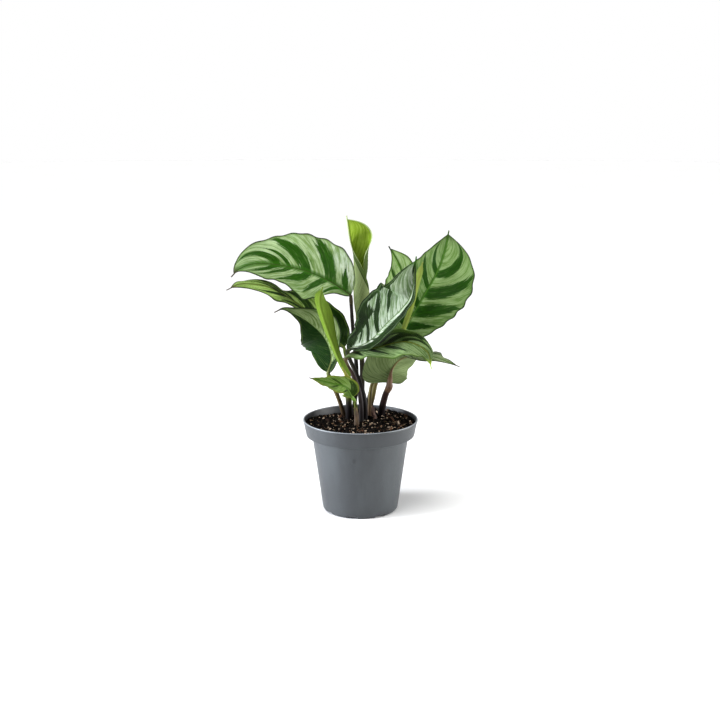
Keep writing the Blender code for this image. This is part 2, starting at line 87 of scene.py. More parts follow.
class Look:
    """A material, or the sky, that is put together node by node."""

    def __init__(self, name, holder=None, shader="Principled BSDF"):
        self.holder = holder or bpy.data.materials.new(name)
        self.holder.use_nodes = True
        self.tree = self.holder.node_tree
        self.shader = self.tree.nodes[shader]

    def feed(self, node, fed):
        for place, value in fed.items():
            socket = node.inputs[place]
            if isinstance(value, bpy.types.NodeSocket):
                self.tree.links.new(value, socket)
            else:
                socket.default_value = (*srgb(*value), 1.0) if socket.type == "RGBA" else value

    def node(self, kind, fed, **settings):
        made = self.tree.nodes.new(kind)
        for key, value in settings.items():
            setattr(made, key, value)
        self.feed(made, fed)
        return made

    def sum(self, operation, a, b=0.0):
        return self.node("ShaderNodeMath", {0: a, 1: b}, operation=operation).outputs[0]

    def plus(self, a, b):
        return self.sum("ADD", a, b)

    def times(self, a, b):
        return self.sum("MULTIPLY", a, b)

    def step(self, value, low, high, first=0.0, last=1.0):
        """First below low, last above high, and smooth between; low may be the higher of the two."""
        fed = {"Value": value, "From Min": low, "From Max": high, "To Min": first, "To Max": last}
        return self.node("ShaderNodeMapRange", fed, interpolation_type="SMOOTHSTEP").outputs[0]

    def spread(self, value, low, high):
        """A value from 0 to 1 spread evenly from low to high."""
        return self.node("ShaderNodeMapRange", {"Value": value, "To Min": low, "To Max": high}).outputs[0]

    def mix(self, share, first, second, most=1.0):
        """From the first colour to the second by the share, and by no more than most of the way."""
        share = share if most == 1.0 else self.times(share, most)
        return self.node("ShaderNodeMix", {0: share, 6: first, 7: second}, data_type="RGBA").outputs[2]

    def uneven(self, value, grain, amount):
        """The value pushed to and fro by a grain, so that no edge looks ruled."""
        return self.plus(value, self.spread(grain, -amount, amount))

    def apart(self, place):
        return self.node("ShaderNodeSeparateXYZ", {0: place}).outputs

    def speckle(self, place, scale, detail=3.0, rough=0.55):
        fed = {"Vector": place, "Scale": scale, "Detail": detail, "Roughness": rough}
        return self.node("ShaderNodeTexNoise", fed).outputs[0]

    def fibre(self, detail, rough, *runs):
        """Speckle drawn out along a pattern: each run is a value and how quickly the speckle follows it."""
        fed = {i: self.times(*run) for i, run in enumerate(runs)}
        return self.speckle(self.node("ShaderNodeCombineXYZ", fed).outputs[0], 1.0, detail, rough)

    def attribute(self, name):
        """The three numbers that a piece's mesh carries at each place under this name."""
        return self.apart(self.node("ShaderNodeAttribute", {}, attribute_name=name).outputs["Vector"])

    def object_place(self, *stretch):
        """The place on the piece in metres, squeezed or stretched along each axis."""
        place = self.node("ShaderNodeTexCoord", {}).outputs["Object"]
        return self.node("ShaderNodeMapping", {"Vector": place, "Scale": stretch or (1, 1, 1)}).outputs[0]

    def done(self, colour, roughness, grain=None, depth=0.0, specular=0.5):
        """The finished material, with relief that is depth metres from its lowest to its highest place."""
        fed = {"Base Color": colour, "Roughness": roughness, "Specular IOR Level": specular}
        if grain is not None:
            relief = {"Height": grain, "Distance": depth, "Strength": 1.0}
            fed["Normal"] = self.node("ShaderNodeBump", relief).outputs[0]
        self.feed(self.shader, fed)
        return self.holder

# %% [markdown]
# ## Floor and light
# The plant stands on a pale table top in soft white light. The table is a wide disc that runs to the
# horizon, and the sky just above the horizon is as white, so no edge shows behind the plant. Higher
# up and behind the camera the sky is dim, as a studio's ceiling and far wall are. A wide soft light
# overhead gives the leaves their gloss and the deep shade below them, and two lamps low at the sides
# give the pot its two lighter flanks.

# %% Floor
def pick_none():
    if bpy.context.object is not None and bpy.context.object.mode != "OBJECT":
        bpy.ops.object.mode_set(mode="OBJECT")
    bpy.ops.object.select_all(action="DESELECT")


def pick(piece):
    pick_none()
    piece.select_set(True)
    bpy.context.view_layer.objects.active = piece


pick_none()
bpy.ops.mesh.primitive_circle_add(vertices=96, radius=8.0, fill_type="NGON", location=(0, 0, -0.0003))
floor = bpy.context.object
floor.name = "floor"
paint = Look("pale_table")
cloud = paint.speckle(paint.object_place(), 3.0)
near_white = paint.mix(cloud, (247, 247, 246.4), (250.5, 250.5, 250.5))
floor.data.materials.append(paint.done(near_white, paint.spread(cloud, 0.6, 0.75)))

# %% Sky
scene = bpy.context.scene
scene.view_settings.view_transform = "Standard"
scene.world = bpy.data.worlds.new("soft_studio")
sky = Look("soft_studio", scene.world, "Background")
across, ahead, up = sky.apart(sky.node("ShaderNodeTexCoord", {}).outputs["Generated"])
bright = sky.times(sky.step(ahead, -0.85, -0.1, 0.3, 1.0), sky.step(up, 0.2, 0.42, 1.0, 0.22))
sky.feed(sky.shader, {"Strength": bright, "Color": (255, 255, 255)})

# %% Lamps
LAMP_AIM = Vector((0.0, 0.0, 0.17))
SKYLIGHT_FROM = Vector((-0.22, -0.25, 1.0))
SKYLIGHT_POWER, SKYLIGHT_SOFT_DEG = 2.9, 40.0
LAMPS = {
    "lamp_left": ((-1.1, -0.22, 0.3), 0.5, 31.0, (0.88, 0.92, 1.0)),
    "lamp_right": ((1.1, -0.1, 0.3), 0.5, 15.5, (1.0, 1.0, 1.0)),
}


def aim(place):
    return (-place).to_track_quat("-Z", "Y").to_euler()


bpy.ops.object.light_add(type="SUN", rotation=aim(SKYLIGHT_FROM))
skylight = bpy.context.object
skylight.name = "skylight"
skylight.data.energy = SKYLIGHT_POWER
skylight.data.angle = math.radians(SKYLIGHT_SOFT_DEG)
for name, (place, side, power, colour) in LAMPS.items():
    bpy.ops.object.light_add(type="AREA", location=place, rotation=aim(Vector(place) - LAMP_AIM))
    lamp = bpy.context.object
    lamp.name = name
    lamp.data.size = side
    lamp.data.energy = power
    lamp.data.color = colour
print("lamps:", sorted(LAMPS))

# %% [markdown]
# ## The form of a leaf
# A calathea leaf is a thin blade on both sides of a curved midrib. It is described here as a
# gardener would: where the midrib runs, which way the upper face looks, how wide each half is, and
# how each half rises, droops or rolls. Values between the given ones are read smoothly, so that a
# few numbers make a soft curve.

# %% Reading values smoothly
MM = 0.001


def unit(v):
    return v / np.linalg.norm(v, axis=-1, keepdims=True)


def square_to(ahead, way):
    """The part of each way that is square to the way ahead."""
    return unit(way - ahead * np.sum(way * ahead, axis=1, keepdims=True))


def between(values, t):
    """Values spread evenly from base to tip, read smoothly at each place t from 0 to 1."""
    table = np.array(values, float).reshape(len(values), -1)
    ends = np.vstack([2 * table[0] - table[1], table, 2 * table[-1] - table[-2]])
    place = np.clip(t, 0, 1) * (len(table) - 1)
    i = np.minimum(place.astype(int), len(table) - 2)
    s = (place - i)[:, None]
    before, here, there, after = ends[i], ends[i + 1], ends[i + 2], ends[i + 3]
    pull, push = (there - before) / 2, (after - here) / 2
    read = ((2 * s**3 - 3 * s**2 + 1) * here + (s**3 - 2 * s**2 + s) * pull
            + (3 * s**2 - 2 * s**3) * there + (s**3 - s**2) * push)
    return read[:, 0] if np.ndim(values[0]) == 0 else read


def path_run(path):
    """How far along the path each of its places lies."""
    return np.concatenate([[0], np.cumsum(np.linalg.norm(np.diff(path, axis=0), axis=1))])


def read_path(path, run, places):
    return np.stack([np.interp(places, run, path[:, axis]) for axis in range(3)], axis=1)


def smooth_path(points, count):
    """Evenly spaced places on the smooth curve that passes through the points."""
    fine = between(points, np.linspace(0, 1, 400))
    run = path_run(fine)
    return read_path(fine, run, np.linspace(0, run[-1], count))

# %% [markdown]
# Each leaf's rib runs from the end of its stalk to its tip, in millimetres. "face" is the way the
# upper side looks. "left" and "right" are the halves seen from above with the tip ahead: half widths,
# then how far the half rises from the rib in degrees, then how many degrees further it bends on its
# way to the edge, or for a rolled leaf the radius it rolls to. A half that doesn't say is flat.
# "outline" is where the leaf is widest, how round its base is and how blunt each half's tip is.
# "wave" is the edge's height, count and start, and "lobes" is how far back each half's base sweeps.

# %% Twelve leaves
FLAT = (0, 0, 0)

LEAVES = {
    "left": dict(
        rib=[(-10, 14, 225), (-30, 10, 239), (-52, 5, 250), (-77, 1, 257), (-104, -3, 260),
            (-122, -6, 255), (-131, -8, 247)],
        face=[(0.25, -0.85, 0.45), (0.1, -0.85, 0.5), (-0.3, -0.8, 0.5)],
        left=((12, 14, 27, 34, 25, 22, 24, 19, 7), (12, 10, 12)),
        right=((38, 40, 36, 27, 21), (22, 22, 12)), outline=(0.4, 2.0, 2.6, 4.2), wave=(1.5, 3.0, 0.5)),
    "left_narrow": dict(
        rib=[(-17, 18, 169), (-40, 16, 193), (-62, 8, 215), (-86, -10, 234), (-103, -20, 241),
            (-120, -30, 243), (-133, -35, 238)],
        face=[(0.5, -0.85, 0.2), (0.3, -0.6, 0.7), (0.0, -0.1, 1.0)],
        left=((8, 9, 9, 18, 24), (0, -5, -12)), right=((34, 32, 20, 8, 14, 24), (5, 0, 0)),
        outline=(0.45, 2.4, 2.8, 4.0), wave=(1.2, 3.0, 2.0)),
    "left_hanging": dict(
        rib=[(-34, 12, 143), (-30, 4, 163), (-37, -4, 184), (-52, -11, 201), (-67, -15, 211),
            (-78, -18, 216), (-87, -20, 213)],
        face=[(0.0, -1.0, 0.1), (-0.3, -0.8, 0.5), (-0.2, -0.5, 0.85)],
        left=((30, 33, 26, 8, 4), (-10, -15, -30), (-10, -20, 0)), right=((8, 10, 23, 14, 6), (5, 12, 0)),
        outline=(0.38, 2.3, 2.0, 2.4), wave=(0.8, 3.0, 0.0)),
    "young_left": dict(
        rib=[(-12, -12, 143), (-19, -17, 158), (-27, -23, 179), (-35, -28, 203), (-40, -32, 222),
            (-40, -33, 231), (-37, -34, 241)],
        face=[(0.3, 0.9, 0.1), (0.3, 0.9, 0.1), (0.3, 0.9, 0.1)],
        left=((9, 9, 10, 11), (0, 0, 0), (2.6, 2.8, 8.0, 20.0)),
        right=((10, 13, 16, 14), (0, 0, 0), (3.0, 4.6, 6.0, 8.0)),
        outline=(0.6, 3.0, 3.0, 3.0), rolled=True),
    "young_top": dict(
        rib=[(0, 28, 187), (-5, 28, 213), (-6, 28, 239), (-6, 27, 262), (-10, 24, 283), (-14, 19, 306)],
        face=[(1, 0, 0), (1, 0, 0), (1, 0, 0), (0.9, -0.4, 0), (0.3, -0.95, 0)],
        left=((20, 25, 15, 4, 2), (0, 0, 0), (7.8, 7.8, 10)),
        right=((22, 28, 28, 28, 32), (0, 0, 0), (5.0, 6.3, 6.3, 11, 40)),
        outline=(0.6, 3.0, 4.0, 3.6), rolled=True),
    "young_right": dict(
        rib=[(40, 2, 172), (43, 0, 187), (51, -2, 212), (57, -5, 238), (63, -6, 262)],
        face=[(0, 1, 0), (0, 1, 0), (0, 1, 0)], left=((5, 7, 7), (0, 0, 0), (1.7, 2.5, 2.7)),
        right=((5, 7, 7), (0, 0, 0), (1.7, 2.5, 2.7)), outline=(0.6, 3.0, 3.0, 3.0), rolled=True),
    "centre": dict(
        rib=[(-14, 6, 169), (-10, 1, 172), (1, -6, 176), (13, -14, 185), (26, -22, 201), (42, -26, 218),
            (51, -26, 233), (56, -18, 269)],
        face=[(-0.2, -0.7, 0.7), (-0.1, -0.75, 0.65), (0.2, -0.9, 0.4)],
        left=((26, 33, 34, 30), (25, 25, 10), (10, 10, 0)), right=((8, 26, 22, 8, 4), (45, 38, 80)),
        outline=(0.48, 2.3, 3.2, 2.8), wave=(0.5, 2.5, 1.0)),
    "right": dict(
        rib=[(40, 14, 180), (50, 10, 197), (64, 8, 223), (78, 10, 248), (86, 14, 269), (91, 20, 291)],
        face=[(-0.2, -0.9, 0.4), (-0.1, -0.95, 0.25), (0.1, -0.95, 0.2)], left=((52, 31, 22), (14, 10, 0)),
        right=((28, 42, 46), (5, 5, 0)), outline=(0.48, 2.1, 2.6, 2.6), wave=(1.2, 2.5, 0.0)),
    "back": dict(
        rib=[(40, 40, 183), (45, 40, 215), (43, 42, 247), (30, 46, 272)],
        face=[(-0.2, -0.9, 0.3), (0.0, -0.9, 0.3), (0.3, -0.8, 0.3)],
        left=((12, 13, 21, 14, 3), (20, 10, 0)), right=((17, 17, 17), (20, 10, 0)),
        outline=(0.55, 2.2, 2.3, 2.3), wave=(1.4, 3.5, 0.3)),
    "front_right": dict(
        rib=[(-17, -1, 162), (-9, -9, 169), (16, -26, 178), (45, -36, 186), (66, -44, 178), (71, -50, 161)],
        face=[(-0.2, -0.3, 0.9), (0.1, -0.3, 0.9), (0.7, -0.4, 0.5)],
        left=((20, 32, 26), (-15, 5, -10), (-10, -10, -20)),
        right=((8, 15, 26), (-10, -30, -10), (-20, -20, 0)),
        outline=(0.5, 2.3, 2.3, 2.3), wave=(2.0, 3.0, 0.0)),
    "right_low": dict(
        rib=[(30, 2, 135), (33, 8, 148), (43, 10, 159), (62, 2, 165), (79, -12, 164), (101, -20, 157)],
        face=[(-0.1, 0.95, -0.1), (-0.1, 0.3, 0.9), (0.2, -0.3, 0.9)], left=((23, 25, 16), (10, 5, 0)),
        right=((37, 26, 12), (10, -10, 0)),
        outline=(0.3, 4.0, 2.2, 2.2), wave=(1.0, 2.5, 0.0), lobes=(0, 10)),
    "front_left": dict(
        rib=[(-8, -22, 125), (-15, -30, 138), (-31, -38, 144), (-51, -44, 151)],
        face=[(-0.2, -0.8, 0.5), (-0.1, -0.6, 0.8), (0.0, -0.3, 0.9)], left=((11, 11, 12),),
        right=((15, 12, 9),), outline=(0.4, 2.3, 2.0, 2.0), wave=(0.8, 2.0, 0.0)),
}
print("leaves:", len(LEAVES))

# %% [markdown]
# ## Veins and blotches
# The side veins leave the midrib nearly square and sweep towards the tip. Everything that is drawn
# on a leaf follows them: the dark blotches, the silvery streaks between them and the fine ripples.
# So each place on a leaf is told which vein it lies on, named by where that vein leaves the midrib.
# A blotch is then a slim lens: (where its vein starts, half width, where it starts and ends on the
# way from the rib to the edge). "outer" is painted shade, near black at its heart, on the outer part
# of one half that lies in shadow: (half, reach it begins at, first and last place along the leaf).
# "lean" is how far a vein at the base sweeps forward, as a share of the leaf's length, and "grow"
# how much further one nearer the tip does.

# %% Blotches and painted shade of each leaf
MARKS = {
    "left": dict(
        lean=0.12, grow=0.45,
        left=[(0.1, 0.03, -0.1, 0.9), (0.24, 0.035, -0.1, 0.75), (0.38, 0.045, -0.2, 0.95),
            (0.52, 0.03, -0.2, 0.8), (0.62, 0.05, -0.3, 0.75)],
        right=[(0.06, 0.035, 0.0, 0.7), (0.2, 0.055, -0.1, 1.02), (0.4, 0.06, -0.15, 1.0),
            (0.53, 0.02, -0.1, 0.7), (0.62, 0.045, -0.1, 0.9)]),
    "left_narrow": dict(
        lean=0.12, grow=0.45,
        left=[(0.2, 0.04, -0.1, 0.85), (0.38, 0.045, -0.1, 0.85), (0.56, 0.045, -0.1, 0.8)],
        right=[(0.0, 0.22, -0.6, 1.6), (0.32, 0.06, -0.2, 1.1), (0.48, 0.03, -0.1, 0.9),
            (0.6, 0.03, -0.1, 0.8)]),
    "left_hanging": dict(
        lean=0.14, grow=0.45, left=[(0.0, 0.4, -1.0, 2.0), (0.4, 0.4, -1.0, 2.0)],
        right=[(0.0, 0.12, -0.6, 1.6)]),
    "centre": dict(
        lean=0.16, grow=0.4,
        left=[(0.0, 0.08, -0.3, 1.3), (0.12, 0.02, 0.1, 1.3), (0.22, 0.025, -0.05, 1.0),
            (0.34, 0.03, -0.05, 1.0), (0.46, 0.025, 0.2, 1.1), (0.95, 0.12, -0.3, 1.5)],
        right=[(0.12, 0.02, -0.1, 0.8), (0.26, 0.02, -0.1, 0.9), (0.86, 0.12, -0.3, 1.3)],
        # painted shade on the outer parts of the middle leaf's halves, which lie in shadow
        outer=((-1, 0.52, -0.3, 0.44), (-1, 0.84, 0.3, 1.0), (1, 0.32, -0.3, 0.9))),
    "right": dict(
        lean=0.10, grow=0.4,
        left=[(0.14, 0.06, -0.1, 1.2), (0.33, 0.05, -0.1, 0.95), (0.5, 0.03, -0.1, 0.9),
            (0.64, 0.03, -0.1, 0.8)],
        right=[(0.0, 0.06, -0.4, 0.9), (0.13, 0.04, -0.1, 0.85), (0.28, 0.06, -0.15, 1.0),
            (0.45, 0.06, -0.2, 1.02), (0.62, 0.045, -0.1, 0.95)]),
    "back": dict(
        lean=0.14, grow=0.4, left=[(0.25, 0.04, 0.0, 0.9), (0.5, 0.04, 0.0, 0.9)],
        right=[(0.35, 0.09, -0.1, 1.1)]),
    "front_right": dict(
        lean=0.14, grow=0.45,
        left=[(0.1, 0.08, -0.3, 1.3), (0.3, 0.06, -0.2, 1.2), (0.47, 0.06, -0.2, 1.1),
            (0.62, 0.04, -0.1, 0.9)],
        right=[(0.14, 0.03, -0.1, 0.75), (0.3, 0.035, -0.1, 0.75), (0.46, 0.035, -0.1, 0.75)],
        # painted shade on the outer part of the left half
        outer=((-1, 0.55, 0.0, 0.75),)),
    "right_low": dict(
        lean=0.14, grow=0.45, left=[(0.2, 0.05, -0.1, 0.9), (0.45, 0.05, -0.1, 0.9)],
        right=[(0.12, 0.05, -0.1, 0.9), (0.32, 0.05, -0.1, 0.9), (0.52, 0.05, -0.1, 0.85)]),
    "front_left": dict(
        lean=0.14, grow=0.4, left=[(0.2, 0.04, 0.0, 0.8), (0.45, 0.03, 0.0, 0.8)],
        right=[(0.05, 0.12, -0.3, 1.3), (0.38, 0.04, 0.0, 0.8)]),
}
NO_MARKS = dict(lean=0.25, grow=0.3, left=[], right=[])
VEIN_SWEEP = 1.35


def vein_start(marks, t, reach):
    """Where along the rib the side vein through each place begins, from 0 to 1."""
    sweep = reach ** VEIN_SWEEP
    return (t - marks["lean"] * sweep) / (1 + marks["grow"] * sweep)


def blotch_depth(spots, start, reach):
    """How deep inside a blotch each place lies: over 0 inside, under 0 outside."""
    depth = np.full(start.shape, -1.5)
    for centre, half_width, first, last in spots:
        run = np.clip((reach - first) / (last - first), 0, 1)
        plump = np.sin(math.pi * run ** 0.8) ** 0.8
        depth = np.maximum(depth, plump - np.abs(start - centre) / half_width)
    return depth

# %% [markdown]
# ## From a flat grid to a leaf
# A flat grid is added and each of its points is carried to its place on the leaf: its x says how far
# out from the rib it lies and its y how far along. The columns stand closer at the rib, where a fine
# groove runs, and low ripples follow the side veins. This is how a pattern cutter works, from a flat
# piece to a bent one, and it keeps every vein in register with the form.

# %% Blade form
ALONG, ACROSS = 168, 56
STATION_PULL, COLUMN_SPREAD = 0.35, 1.35
RIB_PLACES, ARC_STEPS = 400, 96
BASE_HALF, TIP_HALF = 1.1, 0.55
LOBE_REACH = 0.35
EDGE_KINK, EDGE_NICK = 0.7, 0.045
KINK_TURNS, FINE_KINK_TURNS, NICK_TURNS = 23.0, 41.0, 57.0
KEEP_INSIDE = 0.996
GROOVE_DEPTH, GROOVE_WIDTH = 0.35, 0.9
RIPPLE_HEIGHT, RIPPLE_SPACING, CALM_AT_RIB, CALM_AT_EDGE = 0.16, 3.1, 5, 4
OUTER_SHADE_DEPTH, OUTER_SHADE_SOFT, OUTER_SHADE_FADE = 3, 0.2, 0.15


def half_outline(t, widest, base_round, tip_blunt):
    """The half width of an egg-shaped leaf with a drawn-out tip, as a share of the greatest."""
    base_side = np.clip(1 - (np.abs(widest - t) / widest) ** 2, 0, 1) ** (1 / base_round)
    tip_side = 1 - np.clip((t - widest) / (0.97 - widest), 0, 1) ** tip_blunt
    return np.where(t < widest, base_side, tip_side)


def half_form(leaf, sign, t, reach):
    """How far out, how high and how far back each place of one half stands, and its half width."""
    half_name, which = ("left", 0) if sign < 0 else ("right", 1)
    widths, lift, bend = (*leaf[half_name], FLAT, FLAT)[:3]
    widest, base_round, *tips = leaf["outline"]
    share = half_outline(t, widest, base_round, tips[which])
    half = np.maximum(between(widths, t) * share, BASE_HALF + (TIP_HALF - BASE_HALF) * t)
    curl = half / between(bend, t) if leaf.get("rolled") else np.radians(between(bend, t))
    s = (np.arange(ARC_STEPS) + 0.5) / ARC_STEPS
    angle = np.radians(between(lift, t))[:, None] + curl[:, None] * s
    knots = np.arange(1, ARC_STEPS + 1) / ARC_STEPS
    arcs = [np.cumsum((half / ARC_STEPS)[:, None] * turned(angle), axis=1) for turned in (np.cos, np.sin)]
    out, rise = (np.array([np.interp(reach, knots, row) for row in arc]) for arc in arcs)
    if not leaf.get("rolled"):
        amount, count, phase = leaf["wave"]
        rise += amount * (share * np.sin(2 * math.pi * (count * t + phase) + sign))[:, None] * reach**2
        kink = np.sin(KINK_TURNS * t + 5 * phase + sign)
        kink += 0.7 * np.sin(FINE_KINK_TURNS * t + 9 * phase + 2 * sign)
        rise += EDGE_KINK * (share * kink)[:, None] * reach**4
        nick = 0.5 + 0.5 * np.sin(NICK_TURNS * t + 7 * phase + sign)
        out = KEEP_INSIDE * out * (1 - EDGE_NICK * (share * nick)[:, None] * reach**4)
    lobe = leaf.get("lobes", (0, 0))[which]
    back = lobe * (share * np.clip(1 - t / LOBE_REACH, 0, 1) ** 2)[:, None] * reach**2
    return out, rise, back, half


def blade_form(leaf, marks):
    """The places of a blade's upper face in mm, and two sets of three numbers for its finish."""
    stations = np.linspace(0, 1, ALONG + 1)
    t = stations - STATION_PULL * np.sin(2 * math.pi * stations) / (2 * math.pi)
    fine = smooth_path(leaf["rib"], RIB_PLACES)
    length = np.linalg.norm(np.diff(fine, axis=0), axis=1).sum()
    rib = read_path(fine, np.linspace(0, 1, RIB_PLACES), t)
    ahead = unit(np.gradient(rib, axis=0))
    up = square_to(ahead, between(leaf["face"], t))
    side = np.cross(ahead, up)
    middle = ACROSS // 2
    reach = (np.arange(middle + 1) / middle) ** COLUMN_SPREAD
    places, where, drawn = np.zeros((3, ALONG + 1, ACROSS + 1, 3))
    for sign, spots in ((-1, marks["left"]), (1, marks["right"])):
        out, rise, back, half = half_form(leaf, sign, t, np.maximum(reach, 1e-6))
        out[:, 0] = rise[:, 0] = 0
        start = vein_start(marks, t[:, None], reach)
        depth = blotch_depth(spots, start, reach + 0 * start)
        # Painted shade: the outer part of a half in shadow counts as deep inside a blotch, deepest at its
        # heart.
        for half_sign, inner_reach, first, last in marks.get("outer", ()):
            if half_sign == sign:
                fade = np.minimum(t - first, last - t)[:, None] / OUTER_SHADE_FADE
                beyond = (reach - inner_reach) / OUTER_SHADE_SOFT
                depth = np.maximum(depth, OUTER_SHADE_DEPTH * np.minimum(beyond, fade))
        from_rib, to_edge = half[:, None] * reach, half[:, None] * (1 - reach)
        calm = np.clip(from_rib / CALM_AT_RIB, 0, 1) * np.clip(to_edge / CALM_AT_EDGE, 0, 1)
        rise = rise + RIPPLE_HEIGHT * calm * np.sin(2 * math.pi * start * length / RIPPLE_SPACING)
        rise = rise - GROOVE_DEPTH * np.exp(-(from_rib / GROOVE_WIDTH) ** 2)
        columns = middle + sign * np.arange(middle + 1)
        places[:, columns] = (rib[:, None] + side[:, None] * (sign * out)[..., None]
                              + up[:, None] * rise[..., None] - ahead[:, None] * back[..., None])
        where[:, columns] = np.stack(
            [t[:, None] + 0 * start, sign * reach + 0 * start, start * length], axis=-1)
        drawn[:, columns] = np.stack([depth, from_rib, to_edge], axis=-1)
    return places, where, drawn

# %% Blade mesh
BLADE_THICK, RIB_THICK, RIB_SPREAD = 0.45, 1.5, 1.1


def carry(piece, name, values):
    """Stores three numbers at each point of a mesh, for its material to read."""
    kept = piece.data.attributes.new(name, "FLOAT_VECTOR", "POINT")
    kept.data.foreach_set("vector", np.ascontiguousarray(values, np.float32).ravel())


def apply_modifiers(piece):
    pick(piece)
    for modifier in list(piece.modifiers):
        bpy.ops.object.modifier_apply(modifier=modifier.name)


def flat_grid(name, columns, rows):
    """A flat grid, and for each of its points the share of the way across and along it."""
    pick_none()
    bpy.ops.mesh.primitive_grid_add(x_subdivisions=columns, y_subdivisions=rows, size=1.0)
    made = bpy.context.object
    made.name = name
    return made, np.array([corner.co for corner in made.data.vertices])[:, :2] + 0.5


def blade(name, leaf, marks):
    """A thin leaf with a rib that stands out below and fades to the tip."""
    made, shares = flat_grid(name, ACROSS, ALONG)
    column, row = np.rint(shares * (ACROSS, ALONG)).astype(int).T
    places, where, drawn = (form[row, column] for form in blade_form(leaf, marks))
    made.data.vertices.foreach_set("co", (places * MM).ravel())
    carry(made, "leaf_place", where)
    carry(made, "leaf_marks_and_shade", drawn)
    rib = made.vertex_groups.new(name="rib")
    weights = np.exp(-(drawn[:, 1] / RIB_SPREAD) ** 2) * (1 - row / ALONG)
    for i in np.flatnonzero(weights > 0.02):
        rib.add([int(i)], float(weights[i]), "REPLACE")
    wall = made.modifiers.new("wall", "SOLIDIFY")
    wall.thickness = RIB_THICK * MM
    wall.thickness_vertex_group = BLADE_THICK / RIB_THICK
    wall.vertex_group = "rib"
    wall.offset = -1.0
    wall.use_even_offset = False
    wall.material_offset = 1
    wall.material_offset_rim = 0
    return made

# %% [markdown]
# ## The skin of a leaf
# The upper face is waxy. Between the blotches it is silvery green with fine streaks along the veins,
# the blotches are deep green, and a thin dark line follows the margin. Real leaves vary within a
# hand's width, so the noise that breaks up the edges is stretched along the veins and not along the
# axes of space. The lower face is paler, duller and has its veins standing out.

# %% Upper and lower skin
VEIN_PITCH = 1.25
MARGIN_WIDTH = 2.1
LEAF_SPECULAR = 0.07
SHADE_SHARE = 0.4
BLACK = (0, 0, 0)


def upper_skin(name, tones, band=2.0, tip=None, edge=None, gloss=0.4, painted_highlight=None, shade=None, veil=0.4):
    """The upper face: light ground, middle tone streaks, dark blotches, painted shade and highlight, rib
    and margin lines.
    """
    look = Look(name)
    light, middle, dark, rib, margin = tones
    along, reach, vein = look.attribute("leaf_place")
    depth, from_rib, to_edge = look.attribute("leaf_marks_and_shade")
    streak = look.fibre(4.0, 0.65, (vein, 0.42), (reach, 2.2), (along, 2.0))
    thread = look.fibre(4.0, 0.7, (vein, 1.9), (reach, 4.0))
    cloud = look.speckle(look.object_place(), 50.0, 4.0)
    ground = look.mix(look.step(streak, 0.4, 0.6), light, middle)
    ground = look.mix(look.step(thread, 0.5, 0.66), ground, middle, 0.75)
    shade = shade or look.mix(SHADE_SHARE, BLACK, dark)
    deep = look.mix(look.step(thread, 0.42, 0.68), shade, dark)
    deep = look.mix(look.step(streak, 0.52, 0.7), deep, middle, veil)
    # Painted highlight: a pale gloss tone painted into the ground where the leaf catches the overhead
    # light.
    if painted_highlight is not None:
        highlight_tone, first, last, inner = painted_highlight
        share = look.times(look.step(along, last, first), look.step(reach, inner, inner + 0.3))
        share = look.times(share, look.step(thread, 0.62, 0.42))
        ground = look.mix(look.times(share, look.step(streak, 0.62, 0.46)), ground, highlight_tone)
    inside = look.uneven(look.uneven(depth, thread, 0.6), streak, 0.8)
    colour = look.mix(look.step(inside, -0.15, 0.16), ground, deep)
    # Deepest in the painted shade the tone falls nearly to the dark of the margin.
    colour = look.mix(look.step(inside, 1.2, 2.4), colour, margin, 0.85)
    colour = look.mix(look.step(look.uneven(from_rib, thread, 1.8), band, 0.3 * band), colour, dark, 0.8)
    colour = look.mix(look.step(look.uneven(to_edge, streak, 2.6), 3.4, 0.8), colour, edge or middle, 0.75)
    colour = look.mix(look.step(cloud, 0.42, 0.68), colour, dark, 0.35)
    colour = look.mix(look.step(from_rib, 0.75, 0.35), colour, rib)
    at_margin = look.step(look.uneven(to_edge, streak, 0.5), MARGIN_WIDTH, 0.5)
    colour = look.mix(at_margin, colour, margin, 0.95)
    if tip is not None:
        colour = look.mix(look.step(along, 0.9, 0.985), colour, tip)
    waves = look.sum("SINE", look.times(vein, 2 * math.pi / VEIN_PITCH))
    relief = look.plus(look.times(waves, 0.28), look.times(thread, 0.8))
    shine = look.spread(thread, gloss - 0.07, gloss + 0.13)
    return look.done(colour, shine, relief, 0.00025, LEAF_SPECULAR)


def under_skin(name, base, vein_tone, rib, lap=None):
    """The lower face: paler and duller, with its veins and rib; a rolled leaf's outer lap is greener."""
    look = Look(name)
    along, reach, vein = look.attribute("leaf_place")
    depth, from_rib, to_edge = look.attribute("leaf_marks_and_shade")
    waves = look.sum("SINE", look.times(vein, math.pi / VEIN_PITCH))
    thread = look.fibre(3.0, 0.6, (vein, 1.4), (reach, 3.0))
    vein_line = look.step(look.plus(waves, look.spread(thread, -1.0, 0.9)), 0.2, 1.3)
    colour = look.mix(vein_line, base, vein_tone, 0.7)
    colour = look.mix(look.step(thread, 0.35, 0.7), colour, vein_tone, 0.5)
    # The blotches and the painted shade of the upper face show through here as darker places.
    colour = look.mix(look.step(depth, -0.2, 0.3), colour, vein_tone, 0.35)
    colour = look.mix(look.step(from_rib, 1.7, 0.7), colour, rib)
    if lap is not None:
        lap_tone, line_tone, height, slope = lap
        x, y, z = look.apart(look.object_place())
        beyond = look.plus(look.times(x, slope), look.sum("SUBTRACT", z, height))
        on_lap = look.times(look.step(beyond, -0.0004, 0.0008), look.spread(thread, 0.95, 0.7))
        colour = look.mix(on_lap, colour, lap_tone)
        colour = look.mix(look.step(look.sum("ABSOLUTE", beyond), 0.0016, 0.0005), colour, line_tone, 0.9)
    relief = look.plus(look.times(waves, 0.5), look.times(thread, 0.6))
    return look.done(colour, look.spread(thread, 0.47, 0.67), relief, 0.0002, LEAF_SPECULAR)
